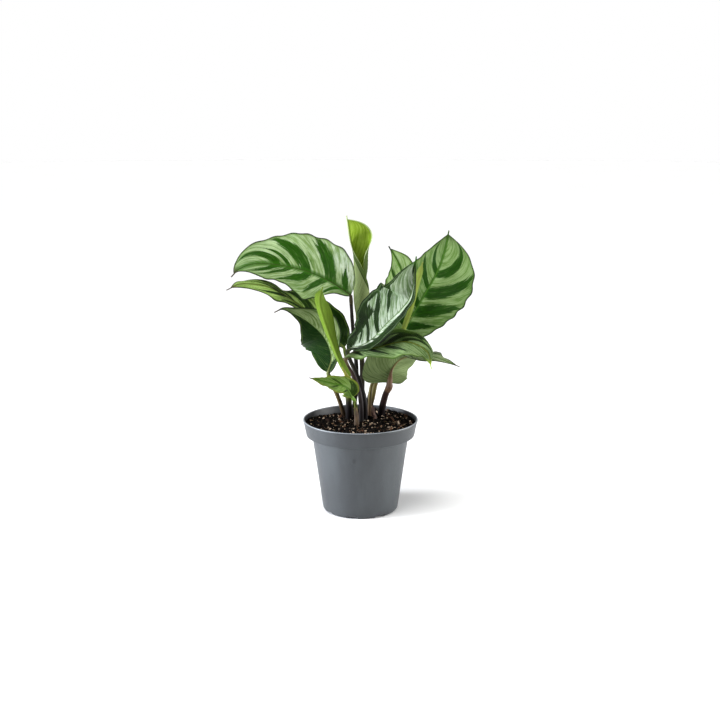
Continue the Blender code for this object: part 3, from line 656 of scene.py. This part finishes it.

# %% [markdown]
# ## Colours of the leaves
# Old leaves are silvery with deep green blotches, the one in the middle has the strongest silver, the
# one that hangs is nearly all dark, and the young ones are still yellow-green. Each leaf has tones of
# its own, so the plant doesn't look cast from one mould: its ground, the ground's streaks, its
# blotches, its rib and its margin. "band" is how wide the dark runs along the rib, "edge" the tone
# next to the margin, "shade" the darkest tone in the blotches and "veil" how much of the streaks
# shows on them. A painted highlight, the leaf's gloss painted into its colour as a pale tone, is
# given by that tone, where along the leaf it is full and gone, and how far out from the rib it
# starts. The lower faces have a ground, a vein and a rib tone, and the rolled top leaf a greener
# outer lap: its tone, its edge's tone, its height in metres and its slope.

# %% Colours
SILVER, SAGE, DEEP = (164, 186, 138), (112, 140, 78), (42, 92, 6)
LEAF, MOSS, OLIVE = (62, 100, 26), (52, 76, 22), (92, 100, 28)
# The last of these tones is the pale tone of the painted highlights on the leaves.
LIME, PALE, HIGHLIGHT_TONE = (136, 164, 30), (176, 192, 140), (214, 224, 208)
MARGIN, BROWN_TIP = (16, 28, 10), (58, 46, 32)

SKINS = {
    "left": dict(tones=(SILVER, SAGE, DEEP, MOSS, MARGIN), tip=BROWN_TIP, band=4.2,
        painted_highlight=(HIGHLIGHT_TONE, 0.05, 0.5, 0.3)),
    "left_narrow": dict(tones=((184, 212, 126), (112, 150, 56), (32, 68, 8), OLIVE, MARGIN),
        tip=BROWN_TIP, edge=(120, 150, 70), shade=(26, 44, 12),
        under=((118, 138, 84), (88, 110, 54), MOSS)),
    "left_hanging": dict(tones=((150, 168, 116), (84, 106, 52), (14, 50, 0), (110, 130, 80), MARGIN),
        tip=BROWN_TIP, band=0.6, edge=(84, 106, 50),
        under=((146, 160, 112), (92, 112, 58), (110, 104, 70))),
    "centre": dict(tones=((180, 196, 170), (98, 124, 80), (38, 66, 20), (104, 130, 74), MARGIN),
        tip=DEEP, band=0.8, gloss=0.32, shade=(14, 28, 6), veil=0.3,
        painted_highlight=((220, 226, 216), 0.1, 1.2, -0.3)),
    "right": dict(tones=((128, 154, 98), (88, 118, 56), (34, 80, 2), LEAF, MARGIN), tip=MOSS),
    "back": dict(tones=((186, 212, 152), (124, 164, 78), (50, 96, 12), LEAF, MOSS), tip=MARGIN,
        painted_highlight=(HIGHLIGHT_TONE, 0.1, 0.9, 0.0)),
    "front_right": dict(tones=((120, 142, 92), (66, 92, 44), (28, 48, 12), OLIVE, MOSS), tip=LIME,
        edge=(122, 144, 86), shade=(12, 26, 4)),
    "right_low": dict(tones=((150, 164, 124), (100, 122, 70), (64, 90, 36), LEAF, MARGIN), tip=BROWN_TIP,
        under=((106, 121, 78), (62, 78, 38), (98, 92, 58))),
    "front_left": dict(tones=((108, 134, 68), (80, 108, 42), (46, 70, 16), LEAF, OLIVE), tip=BROWN_TIP,
        edge=(112, 134, 56)),
    "young_left": dict(tones=((150, 178, 60), OLIVE, (60, 84, 24), OLIVE, PALE),
        under=((100, 126, 34), (52, 74, 20), (86, 108, 30))),
    "young_top": dict(tones=((156, 184, 66), (116, 146, 24), (88, 118, 12), OLIVE, PALE),
        under=((134, 149, 97), (58, 76, 30), (108, 121, 68), ((50, 74, 12), (34, 52, 8), 0.2482, 2.11))),
    "young_right": dict(tones=(PALE, (130, 148, 80), OLIVE, OLIVE, PALE),
        under=((136, 154, 70), (92, 114, 40), (122, 136, 60))),
}
PLAIN_UNDER = ((120, 136, 92), (82, 100, 54), (100, 96, 66))


def seat(piece, looks, node, smooth=50, replace=True):
    """Finishes a piece and makes it ride with the plant, in the place of its solid."""
    for look in looks:
        piece.data.materials.append(look)
    apply_modifiers(piece)
    bpy.ops.object.shade_smooth_by_angle(angle=math.radians(smooth))
    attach(piece, "root")
    if replace:
        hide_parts(node)
    print(piece.name, sum(len(face.vertices) - 2 for face in piece.data.polygons), "triangles")


for name, leaf in LEAVES.items():
    skin = dict(SKINS[name])
    under = skin.pop("under", PLAIN_UNDER)
    seat(blade("blade_" + name, leaf, MARKS.get(name, NO_MARKS)),
         [upper_skin("skin_" + name, **skin), under_skin("under_" + name, *under)], "leaf_" + name)

# %% [markdown]
# ## The soil
# Peat with bark fills the pot to below the rim and is heaped where the stalks come up. A profile is
# turned into a solid first, and its top is then roughened with noise of two sizes. Crumbs, bark and
# pale fibres are real small solids that lie on it, because at this distance it is their shadows
# that make soil look like soil.

# %% Soil values
SOIL_LEVEL, SOIL_LUMP = 92.8, 0.9
SOIL_DOME, SOIL_DOME_SPREAD, SOIL_DOME_CENTRE = 2.4, 24.0, (3.0, 10.0)
SOIL_DIP, SOIL_DIP_SPREAD, SOIL_DIP_CENTRE = 4.2, 26.0, (-26.0, 46.0)
SOIL_CALM_WIDTH = 7.0
RIM_RADIUS, RIM_BAND_HEIGHT, BAND_TAPER = 60.0, 16.5, 3.4
POT_HEIGHT, POT_WALL, FIT_GAP = 97.0, 1.5, 0.35


def swell(x, y, centre, spread):
    """1 at the centre of a heap or dip, falling softly to 0 round it."""
    far = math.hypot(x - centre[0], y - centre[1]) / spread
    return math.exp(-far * far)


def calm_at_wall(x, y, least):
    """1 over most of the soil, falling to the least share at the pot's wall."""
    return min(max((RIM_RADIUS - math.hypot(x, y)) / SOIL_CALM_WIDTH, least), 1.0)


def soil_height(x, y):
    """The top of the soil: heaped round the stalks, sunk at the back left, with small lumps."""
    heap = SOIL_DOME * swell(x, y, SOIL_DOME_CENTRE, SOIL_DOME_SPREAD)
    dip = SOIL_DIP * swell(x, y, SOIL_DIP_CENTRE, SOIL_DIP_SPREAD)
    lumps = math.sin(0.37 * x + 1.3) * math.sin(0.41 * y + 0.4) + 0.6 * math.sin(0.83 * x - 0.57 * y)
    return SOIL_LEVEL + heap - dip + SOIL_LUMP * calm_at_wall(x, y, 0.2) * lumps


def soil_radius(z):
    """How far the soil reaches inside the rim band at a height."""
    low = (RIM_RADIUS - BAND_TAPER - POT_WALL, POT_HEIGHT - RIM_BAND_HEIGHT + 1.7)
    high = (RIM_RADIUS - POT_WALL - 0.2, POT_HEIGHT - 0.5)
    return low[0] + (high[0] - low[0]) * (z - low[1]) / (high[1] - low[1]) - FIT_GAP


def crumbly(x, y):
    """The soil's height with its fine unevenness."""
    rough = 1.2 * noise.noise(Vector((x, y, 0)) * 0.22) + 0.9 * noise.noise(Vector((x, y, 7)) * 0.6)
    return soil_height(x, y) + calm_at_wall(x, y, 0.3) * rough

# %% Turning a profile
def close_mesh(weld):
    """Ends edit mode with points that lie on each other welded and all faces turned outwards."""
    bpy.ops.mesh.select_all(action="SELECT")
    bpy.ops.mesh.remove_doubles(threshold=weld * MM)
    bpy.ops.mesh.normals_make_consistent(inside=False)
    bpy.ops.object.mode_set(mode="OBJECT")


def turned_solid(name, outline, steps):
    """A chain of edges through the places (radius, height) in mm, turned once round the upright axis."""
    pick_none()
    bpy.ops.mesh.primitive_plane_add(size=MM)
    made = bpy.context.object
    made.name = name
    bpy.ops.object.mode_set(mode="EDIT")
    bpy.ops.mesh.merge(type="CENTER")
    bpy.ops.mesh.select_all(action="SELECT")
    here = Vector((0.0, 0.0, 0.0))
    for i, (radius, height) in enumerate(outline):
        step = Vector((radius * MM, 0.0, height * MM)) - here
        if i == 0:
            bpy.ops.transform.translate(value=step)
        else:
            bpy.ops.mesh.extrude_region_move(TRANSFORM_OT_translate={"value": step})
        here += step
    pick(made)
    bpy.ops.object.mode_set(mode="EDIT")
    bpy.ops.mesh.select_all(action="SELECT")
    bpy.ops.mesh.spin(steps=steps, angle=2 * math.pi, center=(0, 0, 0), axis=(0, 0, 1))
    close_mesh(0.004)
    return made

# %% Soil bed
SOIL_RINGS, SOIL_STEPS = 84, 150
SOIL_SPECULAR = 0.06
soil_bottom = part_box("soil")[0].z / MM
top_radius = soil_radius(SOIL_LEVEL)
soil_outline = [(top_radius * i / SOIL_RINGS, SOIL_LEVEL) for i in range(SOIL_RINGS + 1)]
soil_outline += [(54.6, 83.0), (48.6, 80.0), (38.0, soil_bottom + 1.5), (37.0, soil_bottom)]
peat_bed = turned_solid("peat_bed", soil_outline + [(0.0, soil_bottom)], SOIL_STEPS)
for corner in peat_bed.data.vertices:
    x, y, z = corner.co / MM
    if abs(z - SOIL_LEVEL) < 0.01:
        height = crumbly(x, y)
        inward = min(1.0, soil_radius(height) / max(math.hypot(x, y), 1.0))
        corner.co = Vector((x * inward, y * inward, height)) * MM

look = Look("peat")
grain = look.speckle(look.object_place(), 900.0, 4.0, 0.7)
patch = look.speckle(look.object_place(), 160.0)
colour = look.mix(look.step(grain, 0.5, 0.66), (4, 3, 2), (36, 28, 19))
colour = look.mix(look.step(patch, 0.5, 0.68), colour, (10, 8, 7))
seat(peat_bed, [look.done(colour, look.spread(grain, 0.75, 1.0), grain, 0.0012, SOIL_SPECULAR)], "soil", 60)

# %% Crumbs, bark and fibres
LUMP_SHAPES, LUMP_ROUGH = 8, 0.28
WALL_CLEARANCE = 2.2
chance = random.Random(31)


def pebble_shape():
    """A small rough lump of 20 faces, as places and faces."""
    pick_none()
    bpy.ops.mesh.primitive_ico_sphere_add(subdivisions=1, radius=1.0)
    lump = bpy.context.object
    places = np.array([corner.co for corner in lump.data.vertices])
    faces = [tuple(face.vertices) for face in lump.data.polygons]
    bpy.data.objects.remove(lump, do_unlink=True)
    places *= 1 + LUMP_ROUGH * np.array([[chance.uniform(-1, 1)] for _ in places])
    return places, faces


def crumb_look(name, darkest, brown, lightest, share):
    """Crumbs whose own number picks their tone, most of them dark."""
    look = Look(name)
    tone, _, _ = look.attribute("crumb_tone")
    grain = look.speckle(look.object_place(), 1500.0)
    colour = look.mix(look.step(tone, 0.0, 1 - share), darkest, brown)
    colour = look.mix(look.step(tone, 1 - share, 1.0), colour, lightest)
    colour = look.mix(grain, colour, darkest, 0.5)
    return look.done(colour, look.spread(grain, 0.7, 1.0), grain, 0.0004, SOIL_SPECULAR)


def strew(name, count, sizes, flatness, length, tilt, sink, look):
    """One mesh of many small lumps that lie on the soil, each a little different."""
    shapes = [pebble_shape() for _ in range(LUMP_SHAPES)]
    points, faces, tones = [], [], []
    for _ in range(count):
        places, corners = chance.choice(shapes)
        far = (top_radius - WALL_CLEARANCE) * math.sqrt(chance.random())
        angle = chance.uniform(0, 2 * math.pi)
        x, y = far * math.cos(angle), far * math.sin(angle)
        size = sizes[0] + (sizes[1] - sizes[0]) * chance.random() ** 2.2
        scale = np.array([size * length * chance.uniform(0.8, 1.3), size, size * flatness])
        lay = Euler([chance.uniform(*ends) for ends in ((-tilt, tilt), (-tilt, tilt), (0, 2 * math.pi))])
        centre = np.array([x, y, crumbly(x, y) + size * flatness * (1 - sink)])
        first = len(points)
        points.extend(((places * scale) @ np.array(lay.to_matrix()).T + centre) * MM)
        faces.extend([tuple(first + c for c in corner) for corner in corners])
        tones.extend([(chance.random(), size, 0.0)] * len(places))
    mesh = bpy.data.meshes.new(name)
    mesh.from_pydata([tuple(p) for p in points], [], faces)
    made = bpy.data.objects.new(name, mesh)
    scene.collection.objects.link(made)
    carry(made, "crumb_tone", np.array(tones))
    seat(made, [look], "soil", 40, replace=False)


strew("peat_crumbs", 2600, (0.35, 1.5), 0.75, 1.2, 0.8, 0.5,
      crumb_look("crumb_brown", (4, 3, 3), (27, 21, 16), (216, 190, 164), 0.16))
strew("bark_bits", 170, (0.8, 2.2), 0.3, 1.9, 0.5, 0.3,
      crumb_look("bark_red", (26, 17, 13), (96, 66, 48), (206, 176, 146), 0.3))
strew("pale_fibres", 110, (0.22, 0.45), 0.7, 6.0, 0.45, -0.4,
      crumb_look("fibre_tan", (120, 92, 66), (190, 166, 136), (236, 226, 212), 0.4))

# %% [markdown]
# ## The stalks
# Each leaf stands on a stalk that comes out of the soil, thick and dark at its foot, where old leaf
# bases wrap it, and thinner above. Just below the blade calatheas have a swollen joint that turns the
# leaf by day and night, paler than the rest. A stalk is a curve with a round bevel whose radius
# changes from place to place, made a mesh at the end. It runs on under the blade into its midrib.
# Each has a radius at its foot and at its top, a route, and tones for its foot, middle, top and joint.

# %% Stalk routes
STALK_SINK, SHEATH_SINK = 12.0, 4.0
STALK_GAP, STALK_LEAN_SHARE = 0.3, 0.7
STALK_PLACES, RIB_RUN_PLACES = 72, 60
JOINT_LENGTH = 9.0
BLACKISH, BARK = (14, 10, 10), (74, 54, 36)
GREEN_BROWN, STALK_GREEN = (92, 84, 42), (104, 120, 54)

STALKS = {
    "left": (2.6, 1.7, [(-7, 28), (-4, 26, 140), (-8, 19, 190)],
        (BLACKISH, (22, 16, 15), (30, 22, 18), (50, 44, 24))),
    "left_narrow": (2.0, 1.6, [(-13, 23), (-15, 23, 130), (-15, 20, 155)],
        (BLACKISH, (40, 40, 26), GREEN_BROWN, STALK_GREEN)),
    "left_hanging": (2.6, 2.0, [(-18, 29), (-24, 23, 115), (-31, 17, 132)],
        ((58, 44, 32), (96, 80, 48), (86, 80, 44), (92, 100, 50))),
    "young_left": (3.9, 2.6, [(-12, 7), (-12, 0, 118), (-10, -9, 136)],
        (BLACKISH, (34, 30, 32), OLIVE, (126, 128, 46))),
    "young_top": (3.2, 2.4, [(1, 22), (2, 26, 140), (1, 28, 170)],
        (BLACKISH, (44, 40, 28), (100, 106, 54), (140, 150, 90))),
    "young_right": (2.0, 1.6, [(10, 14), (12, 13, 130), (30, 10, 158)],
        (BARK, GREEN_BROWN, (128, 132, 64), (150, 160, 84))),
    "centre": (3.0, 2.0, [(5, 5), (4, 4, 118), (-3, 7, 140), (-11, 9, 158)],
        (BLACKISH, (22, 16, 16), (34, 30, 20), (60, 70, 34))),
    "right": (3.0, 2.1, [(9, 21), (13, 21, 115), (17, 20, 133), (27, 19, 155)],
        (BARK, GREEN_BROWN, (112, 110, 56), (128, 132, 70))),
    "back": (2.0, 1.6, [(6, 29), (11, 30, 120), (17, 32, 137), (28, 38, 163)],
        (BLACKISH, (46, 42, 30), (96, 104, 56), STALK_GREEN)),
    "front_right": (2.8, 2.0, [(1, -5), (0, -6, 120), (-6, -3, 140), (-14, 0, 154)],
        (BLACKISH, (30, 20, 20), (60, 44, 38), (86, 74, 50))),
    "right_low": (4.0, 3.1, [(22, 20), (26, 12, 118), (30, 3, 130)],
        (BLACKISH, (42, 32, 34), (60, 42, 36), (98, 74, 56))),
    "front_left": (2.0, 1.5, [(-4, 1), (-5, -2, 112), (-6, -12, 119), (-7, -19, 122)],
        ((70, 62, 36), (96, 104, 48), STALK_GREEN, (96, 130, 50))),
}


def rooted(points, sink):
    """The route with its foot drawn as two places, one under the soil's top and one above it."""
    x, y = points[0]
    top = soil_height(x, y)
    return [(x, y, top - sink), (x, y, top + 3)] + list(points[1:])


def stalk_route(leaf, top, points):
    """The route to just below the leaf, further below where the rib leaves at an angle."""
    rib = smooth_path(leaf["rib"], RIB_RUN_PLACES)
    arriving = unit(rib[0] - np.array(points[-1], float))
    leaving = unit(rib[1] - rib[0])
    lean = np.linalg.norm(np.cross(arriving, leaving))
    end = rib[0] - arriving * (STALK_GAP + STALK_LEAN_SHARE * top * lean)
    return rooted(points, STALK_SINK) + [tuple(end)]

# %% Stalk mesh
RIB_RUN, RIB_START, RIB_FALL, RIB_LEAST = 14, 0.92, 1.7, 0.3
RIB_SINK, RIB_SINK_LEAST = 0.85, 0.25
JOINT_SWELL, JOINT_MIDDLE, JOINT_SPREAD = 0.22, 0.55, 0.45


def bar(name, path, radii, sides=5):
    """A round bar through the places of a path, in mm, with a radius of its own at each."""
    curve = bpy.data.curves.new(name, "CURVE")
    curve.dimensions = "3D"
    curve.bevel_depth = MM
    curve.bevel_resolution = sides
    curve.use_fill_caps = True
    spline = curve.splines.new("POLY")
    spline.points.add(len(path) - 1)
    for point, place, radius in zip(spline.points, path, radii):
        point.co = (*(Vector(place) * MM), 1.0)
        point.radius = radius
    made = bpy.data.objects.new(name, curve)
    scene.collection.objects.link(made)
    pick(made)
    bpy.ops.object.convert(target="MESH")
    bpy.ops.object.mode_set(mode="EDIT")
    close_mesh(0.002)
    return bpy.context.object


def stalk(name, leaf, foot, top, points):
    """A stalk with a swollen joint below the blade, running on under the blade's midrib."""
    body = smooth_path(stalk_route(leaf, top, points), STALK_PLACES)
    run = path_run(body)
    radii = foot + (top - foot) * np.linspace(0, 1, STALK_PLACES)
    from_joint = run[-1] - run - JOINT_MIDDLE * JOINT_LENGTH
    radii += JOINT_SWELL * top * np.exp(-(from_joint / (JOINT_SPREAD * JOINT_LENGTH)) ** 2)
    rib = smooth_path(leaf["rib"], RIB_RUN_PLACES)
    faces = between(leaf["face"], np.linspace(0, 1, RIB_RUN_PLACES))
    under = square_to(unit(np.gradient(rib, axis=0)), faces)[:RIB_RUN]
    slim = top * RIB_START * (1 - np.arange(RIB_RUN) / RIB_RUN) ** RIB_FALL + RIB_LEAST
    below = rib[:RIB_RUN] - under * (slim * RIB_SINK + RIB_SINK_LEAST)[:, None]
    path = np.vstack([body, below[1:]])
    made = bar("stalk_skin_" + name, path, np.concatenate([radii, slim[1:]]))
    # each point of the mesh is told how far along the path it lies, and how far from the blade
    run = path_run(path)
    corners = np.array([corner.co for corner in made.data.vertices]) / MM
    nearest = run[np.argmin(((corners[:, None] - path[None]) ** 2).sum(axis=2), axis=1)]
    carry(made, "stalk_run", np.stack([nearest, run[STALK_PLACES - 1] - nearest, 0 * nearest], axis=1))
    return made


def stalk_skin(name, foot, middle, top, joint):
    """Dark at the foot, streaked along its length, and paler at the joint below the blade."""
    look = Look(name)
    run, far, _ = look.attribute("stalk_run")
    streak = look.speckle(look.object_place(1.0, 1.0, 0.12), 700.0, 3.0, 0.6)
    patch = look.speckle(look.object_place(1.0, 1.0, 0.5), 110.0)
    colour = look.mix(look.step(run, 14.0, 45.0), foot, middle)
    colour = look.mix(look.step(look.uneven(far, patch, 12.0), 38.0, 12.0), colour, top)
    colour = look.mix(look.step(far, JOINT_LENGTH + 1.5, JOINT_LENGTH - 2.0), colour, joint)
    colour = look.mix(look.step(streak, 0.45, 0.7), colour, foot, 0.45)
    colour = look.mix(look.step(patch, 0.52, 0.7), colour, middle, 0.3)
    return look.done(colour, look.spread(streak, 0.35, 0.6), streak, 0.00025, 0.16)

# %% The stalks
for name, (foot, top, points, tones) in STALKS.items():
    seat(stalk(name, LEAVES[name], foot, top, points), [stalk_skin("stalk_skin_" + name, *tones)],
         "stalk_" + name)

# %% [markdown]
# ## Dry sheaths
# When an old leaf dies, the base that wrapped the stalk dries and splits. What is left is a curled,
# papery scrap with a torn top. Each one is a flat grid wrapped part of the way round an axis, its top
# row pulled up and down to tear it, and given a paper's thickness.

# %% Sheath mesh
SHEATHS = {
    "front": dict(axis=[(-4, -13), (-4, -13, 104), (-6, -13, 112)], radii=(3.5, 1.8),
        open_to=60, wrap=250, seed=5, tones=((126, 98, 54), (74, 52, 28), (22, 15, 9))),
    "right": dict(axis=[(15, 8), (14, 8, 100), (14, 9, 108)], radii=(3.4, 2.2),
        open_to=-60, wrap=230, seed=9, tones=((116, 80, 56), (74, 46, 34), (36, 22, 18))),
}
SHEATH_ROWS, SHEATH_COLUMNS, SHEATH_THICK = 40, 48, 0.4
TEAR_DEPTH = 0.42


def sheath(name, axis, radii, open_to, wrap, seed):
    """A flat grid wrapped part of the way round an axis, with a torn top and crumpled sides."""
    path = smooth_path(rooted(axis, SHEATH_SINK), SHEATH_ROWS + 1)
    made, shares = flat_grid("dry_sheath_" + name, SHEATH_COLUMNS, SHEATH_ROWS)
    run = []
    for corner, (across, up) in zip(made.data.vertices, shares):
        tear = 1 - TEAR_DEPTH * (0.5 + 0.5 * math.sin(across * 19 + seed)) ** 2
        tear -= 0.12 * noise.noise(Vector((across * 14, seed, 0)))
        up = min(up * tear, 1.0)
        angle = math.radians(open_to + 90 + (360 - wrap) / 2 + wrap * across)
        radius = radii[0] + (radii[1] - radii[0]) * up
        radius *= 1 + 0.12 * math.sin(7 * across + 3 * up + seed) + 0.1 * up * math.sin(across * 11)
        place = up * SHEATH_ROWS
        low = min(int(place), SHEATH_ROWS - 1)
        centre = path[low] + (path[low + 1] - path[low]) * (place - low)
        corner.co = Vector(centre + radius * np.array([math.cos(angle), math.sin(angle), 0.0])) * MM
        run.append((across, up, place))
    carry(made, "sheath_place", np.array(run))
    wall = made.modifiers.new("wall", "SOLIDIFY")
    wall.thickness = SHEATH_THICK * MM
    return made


def sheath_skin(name, light, middle, dark):
    """Dry fibres that run up the sheath, from dark to straw."""
    look = Look(name)
    across, up, _ = look.attribute("sheath_place")
    fibre = look.fibre(4.0, 0.65, (across, 22.0), (up, 1.6))
    colour = look.mix(look.step(fibre, 0.36, 0.56), dark, middle)
    colour = look.mix(look.step(fibre, 0.52, 0.68), colour, light)
    return look.done(colour, look.spread(fibre, 0.6, 0.9), fibre, 0.0006)


for name, values in SHEATHS.items():
    tones = values.pop("tones")
    seat(sheath(name, **values), [sheath_skin("dry_sheath_" + name, *tones)], "old_sheath_" + name)

# %% [markdown]
# ## The pot
# A nursery pot is moulded in one piece: a wide tapering rim band that steps in to a tapering body, and
# a foot with notches that let water out from under it. Its outline is drawn as a chain of edges whose
# corners are rounded, and spun once round. The notches and drain holes are cut afterwards, as a
# mould's inserts would leave them.

# %% Pot outline
SHOULDER_RADIUS, FOOT_RADIUS, FOOT_ROUNDING = 50.2, 39.6, 2.0
FLOOR_RAISE, FLOOR_THICK = 2.2, 1.8
FOOT_RING_WIDTH, CENTRE_PAD_RADIUS = 2.6, 12.0
POT_STEPS = 160

band = POT_HEIGHT - RIM_BAND_HEIGHT
band_radius = RIM_RADIUS - BAND_TAPER
floor_top = FLOOR_RAISE + FLOOR_THICK
foot_inner = FOOT_RADIUS - FOOT_ROUNDING - FOOT_RING_WIDTH
body_foot, body_top = 3.2, band - 2.4
inside = [
    (0.0, floor_top), (FOOT_RADIUS - POT_WALL - 1.0, floor_top),
    (FOOT_RADIUS - POT_WALL + 0.1, floor_top + 1.4),
    (SHOULDER_RADIUS - POT_WALL - 0.1, band - 0.6), (SHOULDER_RADIUS - POT_WALL + 0.6, band + 0.3),
    (band_radius - POT_WALL - 0.9, band + 0.9), (band_radius - POT_WALL, band + 1.7),
    (RIM_RADIUS - POT_WALL - 0.2, POT_HEIGHT - 0.5), (RIM_RADIUS - POT_WALL + 0.2, POT_HEIGHT - 0.1),
]
outside = [
    (RIM_RADIUS - 0.8, POT_HEIGHT), (RIM_RADIUS - 0.2, POT_HEIGHT - 0.25), (RIM_RADIUS, POT_HEIGHT - 0.9),
    (RIM_RADIUS - 0.1, POT_HEIGHT - 1.7), (RIM_RADIUS - 0.6, POT_HEIGHT - 2.1),
    (band_radius, band + 0.4), (band_radius - 0.25, band - 0.2), (band_radius - 0.9, band - 0.6),
    (SHOULDER_RADIUS + 0.9, band - 1.2), (SHOULDER_RADIUS + 0.25, band - 1.6), (SHOULDER_RADIUS, body_top),
    (FOOT_RADIUS, body_foot), (FOOT_RADIUS - 0.25, 2.0), (FOOT_RADIUS - 0.8, 1.0),
    (FOOT_RADIUS - 1.4, 0.35), (FOOT_RADIUS - FOOT_ROUNDING, 0.0),
]
beneath = [
    (foot_inner, 0.0), (foot_inner - 0.8, FLOOR_RAISE), (CENTRE_PAD_RADIUS + 0.8, FLOOR_RAISE),
    (CENTRE_PAD_RADIUS, 0.0), (0.0, 0.0),
]
pot = turned_solid("nursery_pot", inside + outside + beneath, POT_STEPS)
print("pot", len(pot.data.polygons), "faces")

# %% Notches, drains and the moulding mark
NOTCH_COUNT, NOTCH_TURN_DEG = 8, -103.0
NOTCH_DEPTH, NOTCH_WIDTH, NOTCH_HEIGHT, NOTCH_ROUNDING = 14.0, 12.0, 2.0, 0.9
DRAIN_RADIUS, DRAIN_CENTRE = 3.5, 29.0
MARK_HEIGHT, MARK_ASIDE, MARK_RADIUS, MARK_DEPTH = 65.3, -6.2, 2.0, 0.3


def cut_with(piece, cutter):
    """Takes the cutter's shape out of the piece and removes the cutter."""
    hole = piece.modifiers.new("cut", "BOOLEAN")
    hole.operation = "DIFFERENCE"
    hole.solver = "EXACT"
    hole.object = cutter
    apply_modifiers(piece)
    bpy.data.objects.remove(cutter, do_unlink=True)


def drill(piece, place, radius, depth, way=(0, 0, 0)):
    """Cuts a round hole, in mm, with the place at the middle of its depth."""
    pick_none()
    bpy.ops.mesh.primitive_cylinder_add(
        vertices=32, radius=radius * MM, depth=depth * MM, location=place * MM, rotation=way)
    cut_with(piece, bpy.context.object)


for i in range(NOTCH_COUNT):
    turn = math.radians(NOTCH_TURN_DEG + i * 360 / NOTCH_COUNT)
    outwards = Vector((math.cos(turn), math.sin(turn), 0.0))
    pick_none()
    bpy.ops.mesh.primitive_cube_add(
        size=1.0, location=outwards * (FOOT_RADIUS - 1.0) * MM, rotation=(0, 0, turn),
        scale=(NOTCH_DEPTH * MM, NOTCH_WIDTH * MM, 2 * NOTCH_HEIGHT * MM))
    notch = bpy.context.object
    bpy.ops.object.transform_apply(location=False, rotation=False, scale=True)
    edge = notch.modifiers.new("round", "BEVEL")
    edge.width, edge.segments = NOTCH_ROUNDING * MM, 4
    apply_modifiers(notch)
    cut_with(pot, notch)
    drill(pot, outwards * DRAIN_CENTRE + Vector((0, 0, floor_top / 2)), DRAIN_RADIUS, 3 * floor_top)

slope = (SHOULDER_RADIUS - FOOT_RADIUS) / (body_top - body_foot)
mark_radius = FOOT_RADIUS + slope * (MARK_HEIGHT - body_foot)
mark_place = Vector((MARK_ASIDE, -math.sqrt(mark_radius ** 2 - MARK_ASIDE ** 2), MARK_HEIGHT))
off_wall = Vector((mark_place.x, mark_place.y, -slope * mark_radius))
drill(pot, mark_place, MARK_RADIUS, 2 * MARK_DEPTH, aim(-off_wall))

# %% [markdown]
# The plastic is satin grey with faint clouds and the lines of its flow in the mould. Its inner wall
# above the soil is darkened with painted shade, and the rim band a little too. The lip carries a thin
# painted highlight, and the round mark of the mould's pin is darkened with painted shadow. Each of
# these is told apart by its place on the pot, in metres.

# %% Plastic
BAND_MIDDLE_RADIUS, BAND_MIDDLE_HEIGHT, BAND_SLOPE = 0.0559, 0.0822, 0.217
INNER_SHADE_BELOW, INNER_SHADE_ABOVE = 0.078, 0.082
LIP_HIGHLIGHT_BELOW, LIP_HIGHLIGHT_ABOVE = 0.0961, 0.0967

look = Look("pot_grey")
sand = look.speckle(look.object_place(), 2600.0, 2.0)
haze = look.speckle(look.object_place(1.0, 1.0, 0.35), 38.0, 4.0)
flow = look.speckle(look.object_place(1.0, 1.0, 0.06), 240.0, 3.0)
colour = look.mix(look.step(haze, 0.35, 0.68), (40, 44, 47), (52, 57, 60))
colour = look.mix(look.step(flow, 0.5, 0.75), colour, (38, 42, 46), 0.3)
colour = look.mix(look.step(sand, 0.55, 0.8), colour, (100, 106, 110), 0.3)
x, y, z = look.apart(look.object_place())
from_axis = look.sum("SQRT", look.plus(look.times(x, x), look.times(y, y)))
wall_middle = look.plus(look.times(z, BAND_SLOPE), BAND_MIDDLE_RADIUS - BAND_MIDDLE_HEIGHT * BAND_SLOPE)
beyond_wall = look.sum("SUBTRACT", from_axis, wall_middle)
# Painted shade on the inner wall above the soil.
inner_wall_shade = look.times(look.step(beyond_wall, 0.0004, -0.0002), look.step(z, INNER_SHADE_BELOW, INNER_SHADE_ABOVE))
colour = look.mix(inner_wall_shade, colour, (30, 32, 36), 0.85)
aside = look.sum("SUBTRACT", x, mark_place.x * MM)
above = look.sum("SUBTRACT", z, mark_place.z * MM)
from_mark = look.plus(look.times(aside, aside), look.times(above, above))
mark_size = (MARK_RADIUS * MM) ** 2
on_mark = look.times(look.step(from_mark, 1.2 * mark_size, 0.5 * mark_size), look.step(y, 0.0, -0.01))
colour = look.mix(on_mark, colour, (22, 25, 28), 0.4)
# Painted shade on the rim band.
colour = look.mix(look.step(z, band * MM - 0.0006, band * MM), colour, (26, 30, 34), 0.45)
# Painted highlight: a thin pale line round the lip.
lip_highlight = look.step(look.uneven(z, haze, 0.0006), LIP_HIGHLIGHT_BELOW, LIP_HIGHLIGHT_ABOVE)
colour = look.mix(lip_highlight, colour, (160, 166, 172), 0.5)
seat(pot, [look.done(colour, look.spread(haze, 0.4, 0.56), sand, 0.00012)], "pot", 28)
